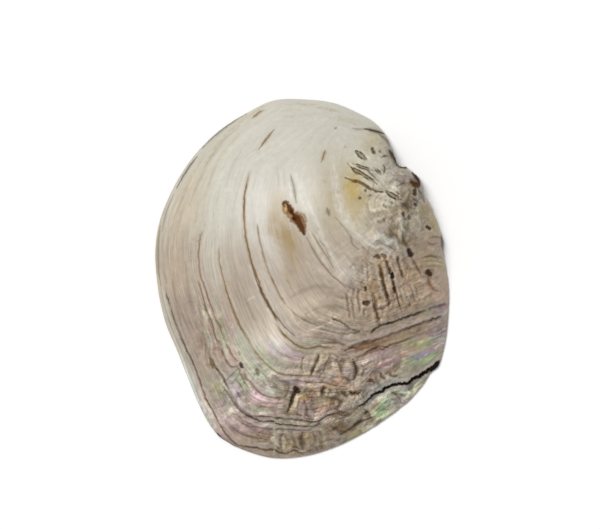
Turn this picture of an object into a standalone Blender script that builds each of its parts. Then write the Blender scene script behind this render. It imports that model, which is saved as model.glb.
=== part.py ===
"""One valve of a polished pearl oyster shell, lying on its rim with the outer face up.

The valve is one solid. Its outer face is a domed sheet with growth ledges, folds and worm
pits in it, its inner face is a smooth bowl, and a flat rim joins the two.
+Y points to the front end, -X to the free edge, and +X to the hinge beside the umbo.
The traced places are pixels of the photograph, turned into metres by spot().
"""

import math

import bmesh
import bpy
import numpy as np
from mathutils import Vector
from mathutils.geometry import delaunay_2d_cdt

MM = 0.001

# Driving dimensions
SHELL_LENGTH = 0.160
DOME_HEIGHT = 0.034
WALL = 0.0040

# The photograph's frame: the rows of the shell's two ends, and the middle of its box
PHOTO_TOP, PHOTO_BOTTOM = 99.5, 457.5
PHOTO_MIDDLE = (302.0, 278.5)
PX = SHELL_LENGTH / (PHOTO_BOTTOM - PHOTO_TOP)

# The rim's cross-section
EDGE_HEIGHT = 1.0 * MM
EDGE_ROUND = 0.5 * MM
RIM_WIDTH = 3.2 * MM
HINGE_WIDTH = 8.0 * MM
HINGE_ANGLE = 14.0
HINGE_SPREAD = 46.0
LIP_HEIGHT = 0.6 * MM

# How finely the solid is faceted
RIM_COUNT = 132
OUTER_SPACING = 2.45 * MM
INNER_SPACING = 6.0 * MM
FEATURE_SPACING = 1.9 * MM
CLEAR_OF_FEATURES = 1.15 * MM

# The rim, once round from the hinge over the front end
RIM_TRACE = (
    (448.5, 290), (446.5, 272), (443.5, 254), (443, 240), (438.5, 226), (433.5, 213.5),
    (428, 201), (422.5, 191), (420, 179.5), (413, 173), (406, 167), (398, 165.5),
    (394.5, 158), (392, 149), (386, 136), (376, 124), (363, 115.5), (335, 103.5),
    (305, 99.5), (274, 100.5), (246, 113.5), (221, 129.5), (199.5, 149.5), (182.5, 172),
    (169, 197), (159.5, 222), (155.5, 249), (156.5, 275), (160, 300), (166.5, 325.5),
    (176.5, 349), (186.5, 374), (197, 400), (208, 422), (221, 437.5), (242, 449),
    (273, 457.5), (305, 455.5), (335, 446.5), (362.5, 433), (387, 417.5), (409.5, 399.5),
    (423, 384), (430, 373), (438, 366), (442.5, 352), (446, 335), (448, 312),
)
CROWN_PX = (345, 232)

# The dome's cross-section by direction from the crown: height falls as (1 - r**belly)**steep
DOME_SECTIONS = (
    (0, 2.4, 0.74), (30, 2.8, 0.56), (65, 2.4, 0.66), (100, 2.25, 0.76), (145, 2.1, 0.84),
    (190, 2.05, 0.88), (235, 2.0, 0.92), (270, 2.0, 1.02), (310, 2.0, 1.14),
)
STEEPEST = 2.0

# The rim's notches run only a little way up the dome
FLANK_SOFTNESS = 9.0
NOTCH_FADE = 6.0

# The keel, a low round ridge from the umbo to the rear corner
KEEL_TRACE = ((388, 226), (352, 282), (316, 326), (276, 366), (232, 430))
KEEL_RISE = 2.0 * MM
KEEL_WIDTH = 13.0 * MM

# Growth ledges: (trace from front to rear, drop, reach)
GROWTH_LEDGES = {
    "main": (
        ((252, 168), (246.5, 188), (245, 213), (247, 240), (254, 267), (262, 289),
         (274, 312), (290, 336), (308, 346), (328, 347), (344, 348.5)),
        0.55 * MM, 5.0 * MM,
    ),
    "rear_main": (
        ((344, 349), (354, 343.5), (367, 339.5), (377, 338.5), (386, 335), (396, 331.5),
         (420, 323), (440, 316)),
        0.85 * MM, 5.0 * MM,
    ),
    "second": (
        ((220.5, 245), (220.5, 260), (223.5, 274), (227, 290), (231, 301), (240, 324),
         (254, 348), (265, 360.5), (281, 372), (300, 374), (319.5, 374.5)),
        0.40 * MM, 4.0 * MM,
    ),
    "third": (
        ((203.5, 230), (199.5, 248), (200, 263), (202, 277), (208, 295), (216, 316.5),
         (225, 338.5), (233, 352), (243, 367), (255.5, 386), (273, 396), (290, 395)),
        0.35 * MM, 3.5 * MM,
    ),
    "fourth": (
        ((198.5, 296), (204.5, 339), (216.5, 367), (225.5, 382), (239.5, 403), (254, 415),
         (278, 417), (303, 419.5), (318, 420), (330, 414), (345, 410)),
        0.50 * MM, 4.0 * MM,
    ),
    "last": (
        ((165.5, 282), (170, 304), (180, 333), (192, 359), (201, 382), (206, 398),
         (214, 412), (224, 431), (239.5, 444), (262, 448.5), (278, 451), (302, 452.5),
         (316, 446)),
        0.45 * MM, 3.0 * MM,
    ),
    "inner_step": (
        ((330, 317), (338, 319.5), (351, 328.5), (368, 333), (379, 325), (397, 319.5),
         (416.5, 312.5), (427, 308.5), (440, 305)),
        0.75 * MM, 4.0 * MM,
    ),
}

# The open crack across the wing, its lower lip standing out from under the upper one
WING_CRACK = (
    (355, 407), (363, 402.5), (371, 395), (376, 391), (381.5, 390), (384.5, 386), (391, 383.5),
    (400.5, 381.5), (407, 382), (411, 378), (420, 374), (425.5, 369.5), (431, 366), (441, 359),
)
CRACK_DROP = 1.5 * MM
CRACK_REACH = 9.0 * MM

# Folds that run across the growth lines: (trace down the fold, depth, half width)
FOLD_VALLEYS = {
    "hollow_a": (((379, 262), (380, 280), (384.5, 292), (386.5, 300.5), (385, 308)),
                 1.25 * MM, 1.15 * MM),
    "hollow_b": (((383, 256), (386.5, 264.5), (389, 276), (392, 285), (395, 296)),
                 1.25 * MM, 1.15 * MM),
    "hollow_c": (((396, 256), (397.5, 264.5), (400.5, 273)), 0.9 * MM, 1.2 * MM),
    "hollow_d": (((372.5, 291), (375, 303), (376, 313), (379, 324)), 0.7 * MM, 0.9 * MM),
    "ripple_a": (((346, 293), (349, 306), (350, 320)), 0.5 * MM, 0.9 * MM),
    "ripple_b": (((356, 284), (358, 300), (361, 318)), 0.5 * MM, 0.9 * MM),
    "ripple_c": (((405, 280), (409, 293), (414, 306)), 0.45 * MM, 0.9 * MM),
    "pleat_a": (((318, 352), (316, 363), (309.5, 373)), 0.9 * MM, 0.9 * MM),
    "pleat_b": (((352, 359), (355.5, 368), (353.5, 380)), 0.7 * MM, 1.1 * MM),
    "pleat_c": (((325, 383), (322, 390), (323, 397)), 0.7 * MM, 0.9 * MM),
    "slit": (((296.5, 387), (292, 398), (288.5, 411)), 1.7 * MM, 1.0 * MM),
    "hem_a": (((276, 423), (273.5, 435), (274, 449)), 0.7 * MM, 1.1 * MM),
    "hem_b": (((292, 430), (290, 440), (290, 450)), 0.6 * MM, 1.1 * MM),
    "hem_c": (((304, 430), (303, 440), (306, 449)), 0.8 * MM, 1.2 * MM),
    "hem_d": (((356, 430), (362, 421), (371, 418)), 0.6 * MM, 1.1 * MM),
    "wing_sag": (((389, 392), (401.5, 394), (407, 399)), 0.7 * MM, 1.2 * MM),
    "worn_rent": (((349, 391), (355, 392), (361, 391)), 0.8 * MM, 1.1 * MM),
}

# Pits: (centre, half length, half width, turn of the long side from +X, depth)
PITS = {
    "stained_scar": ((297, 217), 8.0 * MM, 1.7 * MM, -55, 1.1 * MM),
    "worm_a": ((360.5, 157), 2.6 * MM, 0.9 * MM, -42, 0.9 * MM),
    "worm_b": ((358, 172), 4.4 * MM, 0.9 * MM, -33, 0.8 * MM),
    "worm_c": ((364, 186), 8.5 * MM, 0.8 * MM, -20, 0.8 * MM),
    "worm_d": ((379, 172), 2.6 * MM, 0.9 * MM, -50, 0.8 * MM),
    "worm_e": ((393, 197), 3.6 * MM, 0.9 * MM, -28, 0.9 * MM),
    "umbo_scar": ((413, 184), 2.6 * MM, 1.3 * MM, -8, 1.2 * MM),
    "umbo_pit": ((406, 213), 2.4 * MM, 1.8 * MM, 60, 0.9 * MM),
    "hole_a": ((409, 253), 1.3 * MM, 1.2 * MM, 0, 1.3 * MM),
    "hole_b": ((429, 275), 1.4 * MM, 1.1 * MM, -30, 1.1 * MM),
    "hole_c": ((365, 303), 1.4 * MM, 0.9 * MM, 0, 1.1 * MM),
    "hole_d": ((242, 364), 1.2 * MM, 1.0 * MM, 60, 1.0 * MM),
    "hole_e": ((296, 388), 1.4 * MM, 1.3 * MM, 0, 1.4 * MM),
    "hole_f": ((371, 381), 1.6 * MM, 1.0 * MM, -10, 1.0 * MM),
}

NACRE_COLOUR = (0.62, 0.55, 0.46, 1.0)
NACRE_ROUGHNESS = 0.32


def spot(place):
    """A pixel of the photograph as a point of the rim's plane, in metres."""
    return np.array([place[0] - PHOTO_MIDDLE[0], PHOTO_MIDDLE[1] - place[1]]) * PX


def traced(places):
    return np.array([spot(p) for p in places])


def smooth_line(points, closed=False, steps=6):
    """A Catmull-Rom curve through the points, as a finer line of points."""
    points = np.asarray(points, float)
    count = len(points)
    share = (np.arange(steps) / steps)[:, None]
    found = []
    for i in range(count if closed else count - 1):
        if closed:
            a, b, c, d = (points[(i + k) % count] for k in (-1, 0, 1, 2))
        else:
            b, c = points[i], points[i + 1]
            a = points[i - 1] if i else 2 * b - c
            d = points[i + 2] if i + 2 < count else 2 * c - b
        found.append(0.5 * (2 * b + (c - a) * share + (2 * a - 5 * b + 4 * c - d) * share**2
                            + (3 * b - a - 3 * c + d) * share**3))
    if not closed:
        found.append(points[-1:])
    return np.concatenate(found)


def ease(value):
    """0 below 0, 1 above 1, and a smooth step between."""
    value = np.clip(value, 0.0, 1.0)
    return value * value * (3 - 2 * value)


CROWN = spot(CROWN_PX)
RIM_LINE = smooth_line(traced(RIM_TRACE), closed=True)
RIM_ANGLES = np.arctan2(RIM_LINE[:, 1] - CROWN[1], RIM_LINE[:, 0] - CROWN[0])
RIM_RADII = np.hypot(RIM_LINE[:, 0] - CROWN[0], RIM_LINE[:, 1] - CROWN[1])


def rim_radius(angle):
    """How far the rim is from the crown in this direction."""
    return np.interp(angle, RIM_ANGLES, RIM_RADII, period=2 * math.pi)


def soft_radius(angle):
    """The rim's distance averaged over nearby directions, without the rim's notches."""
    turns = np.radians(np.linspace(-2, 2, 17) * FLANK_SOFTNESS)
    weights = np.exp(-((turns / math.radians(FLANK_SOFTNESS)) ** 2))
    total = sum(w * rim_radius(angle + t) for w, t in zip(weights, turns))
    return total / weights.sum()


def rim_inset(angle):
    """How far in from the outline the inner bowl begins: wide along the hinge."""
    turn = (np.degrees(angle) - HINGE_ANGLE + 180) % 360 - 180
    hinge = np.exp(-((turn / HINGE_SPREAD) ** 2))
    return RIM_WIDTH + (HINGE_WIDTH - RIM_WIDTH) * hinge


def section(angle, column):
    """One value of DOME_SECTIONS at this angle, eased from row to row."""
    turn = np.degrees(angle) % 360
    rows = DOME_SECTIONS + ((DOME_SECTIONS[0][0] + 360,) + DOME_SECTIONS[0][1:],)
    value = np.zeros_like(turn)
    for low, high in zip(rows[:-1], rows[1:]):
        inside = (turn >= low[0]) & (turn <= high[0])
        share = ease((turn - low[0]) / (high[0] - low[0]))
        value = np.where(inside, low[column] + (high[column] - low[column]) * share, value)
    return value


def polar(points):
    """The distance and direction of each point from the crown."""
    off = points - CROWN
    return np.hypot(off[:, 0], off[:, 1]), np.arctan2(off[:, 1], off[:, 0])


def from_polar(radius, angle):
    return CROWN + np.stack([radius * np.cos(angle), radius * np.sin(angle)], axis=1)


def crowding(angle):
    """How strongly points are drawn to the rim, where the wall stands steep."""
    return np.clip(1 / section(angle, 2), 1.0, STEEPEST)


def spread_out(points, reach):
    """Plan points to the flat sheet on which the facets are laid out."""
    radius, angle = polar(points)
    edge = reach(angle)
    share = np.clip(radius / edge, 0, 1)
    return from_polar(edge * (1 - (1 - share) ** (1 / crowding(angle))), angle)


def drawn_in(points, reach):
    """The flat sheet's points back to plan: the inverse of spread_out."""
    radius, angle = polar(points)
    edge = reach(angle)
    share = np.clip(radius / edge, 0, 1)
    return from_polar(edge * (1 - (1 - share) ** crowding(angle)), angle)


def along_line(points, line):
    """Signed distance from a line, positive to the right of its run, and the share along it."""
    starts, runs = line[:-1], np.diff(line, axis=0)
    lengths = np.hypot(runs[:, 0], runs[:, 1])
    best = np.full(len(points), np.inf)
    signed = np.zeros(len(points))
    share = np.zeros(len(points))
    before = 0.0
    for start, run, length in zip(starts, runs, lengths):
        off = points - start
        t = np.clip((off @ run) / length**2, 0, 1)
        gap = off - t[:, None] * run
        distance = np.hypot(gap[:, 0], gap[:, 1])
        nearer = distance < best
        side = np.where(run[0] * off[:, 1] - run[1] * off[:, 0] > 0, -1.0, 1.0)
        signed = np.where(nearer, distance * side, signed)
        share = np.where(nearer, before + t * length, share)
        best = np.minimum(best, distance)
        before += length
    return signed, share / before


def tapered(share, fade=0.12):
    """1 along a line and 0 at its two ends."""
    return ease(share / fade) * ease((1 - share) / fade)


def ledge(points, line, drop, reach):
    """The layer above ends here: a sharp step down, then a slow rise back."""
    out, share = along_line(points, line)
    step = ease(out / (0.9 * MM) + 0.5) * np.exp(-np.maximum(out, 0) / reach)
    lip = 0.25 * np.exp(-((np.minimum(out, 0) / (2.2 * MM)) ** 2)) * (out < 0.45 * MM)
    return drop * (lip - step) * tapered(share)


def valley(points, line, depth, half_width):
    """A rounded furrow with a low bank on each side."""
    out, share = along_line(points, line)
    furrow = np.exp(-((out / half_width) ** 2))
    banks = np.exp(-((np.abs(out) - 2.1 * half_width) / half_width) ** 2)
    return depth * (0.3 * banks - furrow) * tapered(share, 0.2)


def pit(points, centre, half_length, half_width, turn, depth):
    """An oval hollow with sloping sides."""
    off = points - spot(centre)
    c, s = math.cos(math.radians(turn)), math.sin(math.radians(turn))
    u = (off[:, 0] * c + off[:, 1] * s) / half_length
    v = (off[:, 1] * c - off[:, 0] * s) / half_width
    return -depth * np.exp(-((u * u + v * v) ** 1.5))


def dome(points, reach, floor, crown_height):
    """The smooth domed height of each plan point inside the outline that reach gives."""
    radius, angle = polar(points)
    edge = reach(angle)
    soft = soft_radius(angle) + edge - rim_radius(angle)
    near_rim = np.clip(radius / edge, 0, 1) ** NOTCH_FADE
    share = np.clip(radius / (soft + (edge - soft) * near_rim), 0, 1)
    fall = (1 - share ** section(angle, 1)) ** section(angle, 2)
    out, along = along_line(points, smooth_line(traced(KEEL_TRACE)))
    keel = KEEL_RISE * np.exp(-((out / KEEL_WIDTH) ** 2)) * tapered(along, 0.35)
    return floor + (crown_height - floor) * fall + keel * ease((1 - share) / 0.25)


def outer_height(points):
    """The outer face: the dome with every ledge, fold and pit in it."""
    height = dome(points, rim_radius, EDGE_HEIGHT, DOME_HEIGHT)
    relief = np.zeros(len(points))
    for places, drop, reach in GROWTH_LEDGES.values():
        relief += ledge(points, smooth_line(traced(places)), drop, reach)
    relief += ledge(points, traced(WING_CRACK), CRACK_DROP, CRACK_REACH)
    for places, depth, half_width in FOLD_VALLEYS.values():
        relief += valley(points, smooth_line(traced(places)), depth, half_width)
    for values in PITS.values():
        relief += pit(points, *values)
    radius, angle = polar(points)
    at_rim = ease((1 - radius / rim_radius(angle)) / 0.06)
    return height + relief * at_rim


def bowl_radius(angle):
    return rim_radius(angle) - rim_inset(angle)


def inner_height(points):
    return dome(points, bowl_radius, LIP_HEIGHT, DOME_HEIGHT - WALL)


def stations(line, spacing):
    """Points evenly spaced along a line, with the right-hand direction at each."""
    lengths = np.hypot(*np.diff(line, axis=0).T)
    along = np.concatenate([[0], np.cumsum(lengths)])
    wanted = np.linspace(0, along[-1], max(2, round(along[-1] / spacing) + 1))
    found = np.stack([np.interp(wanted, along, line[:, k]) for k in (0, 1)], axis=1)
    run = np.gradient(found, axis=0)
    run /= np.hypot(run[:, 0], run[:, 1])[:, None]
    return found, np.stack([run[:, 1], -run[:, 0]], axis=1)


def feature_points():
    """Extra points along every ledge, fold and pit, so that the facets turn there."""
    found = []

    def rows(line, offsets):
        centre, right = stations(line, FEATURE_SPACING)
        found.extend(centre + right * offset for offset in offsets)

    for places, _, _ in GROWTH_LEDGES.values():
        rows(smooth_line(traced(places)), (-0.5 * MM, 0.45 * MM))
    rows(traced(WING_CRACK), (-0.5 * MM, 0.45 * MM))
    for places, _, half_width in FOLD_VALLEYS.values():
        rows(smooth_line(traced(places)), (-1.5 * half_width, 0.0, 1.5 * half_width))
    for centre, half_length, half_width, turn, _ in PITS.values():
        c, s = math.cos(math.radians(turn)), math.sin(math.radians(turn))
        for ring in (0.0, 1.15):
            for k in range(8 if ring else 1):
                u = ring * half_length * math.cos(k * math.pi / 4)
                v = ring * half_width * math.sin(k * math.pi / 4)
                found.append(spot(centre)[None] + [[u * c - v * s, u * s + v * c]])
    return np.concatenate(found)


def thinned(points, least):
    """The points without those that lie closer than this to an earlier one."""
    kept = []
    cells = {}
    for p in points:
        key = (int(p[0] // least), int(p[1] // least))
        around = (cells.get((key[0] + i, key[1] + j), ()) for i in (-1, 0, 1) for j in (-1, 0, 1))
        if all(np.hypot(*(p - q)) >= least for cell in around for q in cell):
            cells.setdefault(key, []).append(p)
            kept.append(p)
    return np.array(kept)


def lattice(reach, spacing):
    """Points in staggered rows over the sheet, clear of its rim."""
    rows = []
    row_gap = spacing * math.sqrt(3) / 2
    span = SHELL_LENGTH
    for k, y in enumerate(np.arange(-span, span, row_gap)):
        x = np.arange(-span, span, spacing) + (spacing / 2 if k % 2 else 0)
        rows.append(np.stack([x, np.full_like(x, y)], axis=1))
    points = np.concatenate(rows)
    radius, angle = polar(points)
    return points[radius < reach(angle) - 0.6 * spacing]


def sheet(angles, reach, spacing, extra):
    """Plan points and triangles that fill the outline; the rim's points come first."""
    border = from_polar(reach(angles), angles)
    inside = lattice(reach, spacing)
    if len(extra):
        radius, angle = polar(extra)
        extra = spread_out(extra[radius < reach(angle) - 0.9 * MM], reach)
        extra = thinned(extra, 0.5 * MM)
        gap = np.array([np.hypot(*(extra - p).T).min() for p in inside])
        inside = np.concatenate([extra, inside[gap > CLEAR_OF_FEATURES]])
    flat = np.concatenate([border, inside])
    outline = [list(range(len(border)))]
    _, _, faces, sources, _, owners = delaunay_2d_cdt(
        [Vector(p) for p in flat], [], outline, 0, 1e-7, True)
    inner_faces = [face for face, owner in zip(faces, owners) if owner]
    triangles = [[sources[i][0] for i in face] for face in inner_faces]
    plan = np.concatenate([border, drawn_in(inside, reach)])
    return plan, triangles


def rim_stations():
    """Directions from the crown at which the rim's points stand, evenly along the rim."""
    line = np.concatenate([RIM_LINE, RIM_LINE[:1]])
    lengths = np.concatenate([[0], np.cumsum(np.hypot(*np.diff(line, axis=0).T))])
    wanted = np.arange(RIM_COUNT) * lengths[-1] / RIM_COUNT
    found = np.stack([np.interp(wanted, lengths, line[:, k]) for k in (0, 1)], axis=1)
    return polar(found)[1]


def ring(bm, angles, inset, height):
    points = from_polar(rim_radius(angles) - inset, angles)
    return [bm.verts.new((x, y, height)) for x, y in points]


def bridge(bm, upper, lower):
    """A band of four-sided faces between two rings of the same count."""
    for i in range(len(upper)):
        k = (i + 1) % len(upper)
        bm.faces.new((upper[i], lower[i], lower[k], upper[k]))


def nacre_material():
    material = bpy.data.materials.new("polished_nacre")
    material.use_nodes = True
    shader = material.node_tree.nodes["Principled BSDF"]
    shader.inputs["Base Color"].default_value = NACRE_COLOUR
    shader.inputs["Roughness"].default_value = NACRE_ROUGHNESS
    shader.inputs["Metallic"].default_value = 0.0
    return material


def make_valve():
    """The whole valve: outer face, rim and inner bowl as one closed mesh."""
    angles = rim_stations()
    bm = bmesh.new()

    plan, triangles = sheet(angles, rim_radius, OUTER_SPACING, feature_points())
    heights = outer_height(plan)
    outer = [bm.verts.new((x, y, z)) for (x, y), z in zip(plan, heights)]
    for face in triangles:
        bm.faces.new([outer[i] for i in face])

    plan, triangles = sheet(angles, bowl_radius, INNER_SPACING, np.zeros((0, 2)))
    heights = inner_height(plan)
    inner = [bm.verts.new((x, y, z)) for (x, y), z in zip(plan, heights)]
    for face in triangles:
        bm.faces.new([inner[i] for i in reversed(face)])

    foot_out = ring(bm, angles, EDGE_ROUND, 0.0)
    foot_in = ring(bm, angles, rim_inset(angles) - EDGE_ROUND, 0.0)
    bridge(bm, outer[:RIM_COUNT], foot_out)
    bridge(bm, foot_out, foot_in)
    bridge(bm, foot_in, inner[:RIM_COUNT])
    bmesh.ops.recalc_face_normals(bm, faces=bm.faces)

    mesh = bpy.data.meshes.new("pearl_shell_valve")
    bm.to_mesh(mesh)
    bm.free()
    mesh.shade_smooth()
    mesh.set_sharp_from_angle(angle=math.radians(40))
    valve = bpy.data.objects.new("pearl_shell_valve", mesh)
    bpy.context.scene.collection.objects.link(valve)
    valve.data.materials.append(nacre_material())
    return valve


def main():
    for old in list(bpy.data.objects):
        bpy.data.objects.remove(old)
    make_valve()


main()
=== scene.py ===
"""Looks of one polished valve of a pearl oyster shell, lying on its rim with the outer face up.

The visible shell is one fine mesh that stands for the CAD solid: the same outline, dome,
ledges, folds, pits and crack, with finer growth lines, worm grooves, stains and bands.
+Y points to the front end, -X to the free edge, and +X to the hinge beside the beak.
The traced places are pixels of the photograph, turned into metres by spot(). In the tables,
widths are in those pixels, and depths and heights are in millimetres. A noise call ends with
its seed and, where the noise is layered, the number of layers.
"""

import math
from collections import namedtuple

import bpy
import numpy as np
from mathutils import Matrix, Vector
from mathutils.geometry import delaunay_2d_cdt
from mathutils.kdtree import KDTree


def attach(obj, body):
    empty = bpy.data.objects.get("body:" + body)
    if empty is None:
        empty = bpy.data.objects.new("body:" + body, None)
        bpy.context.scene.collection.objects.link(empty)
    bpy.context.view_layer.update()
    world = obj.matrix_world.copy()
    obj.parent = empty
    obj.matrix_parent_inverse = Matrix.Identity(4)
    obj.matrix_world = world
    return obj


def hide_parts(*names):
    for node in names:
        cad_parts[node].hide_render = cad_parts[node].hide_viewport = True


MM = 0.001
NODE = "pearl_shell_valve"

# Driving dimensions, as in the CAD
SHELL_LENGTH = 0.160
DOME_HEIGHT = 0.034
WALL = 0.0040

# The photograph's frame: the rows of the shell's two ends, and the middle of its box
PHOTO_SIZE = (600, 529)
PHOTO_TOP, PHOTO_BOTTOM = 99.5, 457.5
PHOTO_MIDDLE = (302.0, 278.5)
PX = SHELL_LENGTH / (PHOTO_BOTTOM - PHOTO_TOP)

# The rim's cross-section
EDGE_HEIGHT = 1.0 * MM
EDGE_ROUND = 0.5 * MM
RIM_WIDTH = 3.2 * MM
HINGE_WIDTH = 8.0 * MM
HINGE_ANGLE = 14.0
HINGE_SPREAD = 46.0
LIP_HEIGHT = 0.6 * MM

# How finely the shell is meshed
RIM_COUNT = 700
FINE_SPACING = 0.95 * PX
INNER_SPACING = 3.4 * PX
CLOSEST_POINTS = 0.45 * PX
CLEAR_OF_FEATURES = 0.62 * PX
CLEAR_OF_RIM = 0.5 * MM

# Rows of points along the traced lines: their spacing, and how far beside a line they run
ROW_SPACING = 0.9 * PX
LEDGE_ROW = 0.72 * PX
CRACK_ROWS = (0.6 * PX, 0.8 * PX)

# Settings of the triangulation
ALL_TRIANGLES = 0
WELD_DISTANCE = 1e-7

# The rim, once round from the hinge over the front end
RIM_TRACE = (
    (448.5, 290), (446.5, 272), (443.5, 254), (443, 240), (438.5, 226), (433.5, 213.5),
    (428, 201), (422.5, 191), (420, 179.5), (413, 173), (406, 167), (398, 165.5),
    (394.5, 158), (392, 149), (386, 136), (376, 124), (363, 115.5), (335, 103.5),
    (305, 99.5), (274, 100.5), (246, 113.5), (221, 129.5), (199.5, 149.5), (182.5, 172),
    (169, 197), (159.5, 222), (155.5, 249), (156.5, 275), (160, 300), (166.5, 325.5),
    (176.5, 349), (186.5, 374), (197, 400), (208, 422), (221, 437.5), (242, 449),
    (273, 457.5), (305, 455.5), (335, 446.5), (362.5, 433), (387, 417.5), (409.5, 399.5),
    (423, 384), (430, 373), (438, 366), (442.5, 352), (446, 335), (448, 312),
)
CROWN_PX = (345, 232)

# The dome's cross-section by direction from the crown, in degrees: the height falls as
# (1 - r**belly)**steepness
DOME_SECTIONS = (
    (0, 2.4, 0.74), (30, 2.8, 0.56), (65, 2.4, 0.66), (100, 2.25, 0.76), (145, 2.1, 0.84),
    (190, 2.05, 0.88), (235, 2.0, 0.92), (270, 2.0, 1.02), (310, 2.0, 1.14),
)
BELLY, STEEPNESS = 1, 2
STEEPEST = 2.0
FLANK_SOFTNESS = 9.0
FLANK_SAMPLES = 17
NOTCH_FADE = 6.0

KEEL_TRACE = ((388, 226), (352, 282), (316, 326), (276, 366), (232, 430))
KEEL_RISE = 2.0 * MM
KEEL_WIDTH = 13.0 * MM

# The noises' lattices: how many values they have each way before they repeat
NOISE_SIZE = 256
CELL_TABLE_SIZE = 128

# Colours as the photograph shows them, in 0 to 255
CREAM = (203, 199, 185)
# the lower main tone: beige, darker partly as painted shade where the dome faces away from the light
BEIGE_AND_PAINTED_SHADE = (183, 167, 149)
PEARL = (217, 213, 204)
BROWN = (134, 88, 44)
DARK_BROWN = (92, 66, 38)
REDDISH = (118, 76, 50)
OLIVE = (136, 126, 86)
GREY = (158, 154, 144)
ROSE_BROWN = (140, 100, 74)
# near-black used as painted shadow, in the crack's gap and at the foot of the inner step
PAINTED_SHADOW_BLACK = (26, 23, 22)

# A growth ledge: its trace from front to rear, how far it steps down, over what distance the
# next layer rises back, and the dirt line in its foot
Ledge = namedtuple("Ledge", "trace drop reach ink width strength jag")

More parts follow.
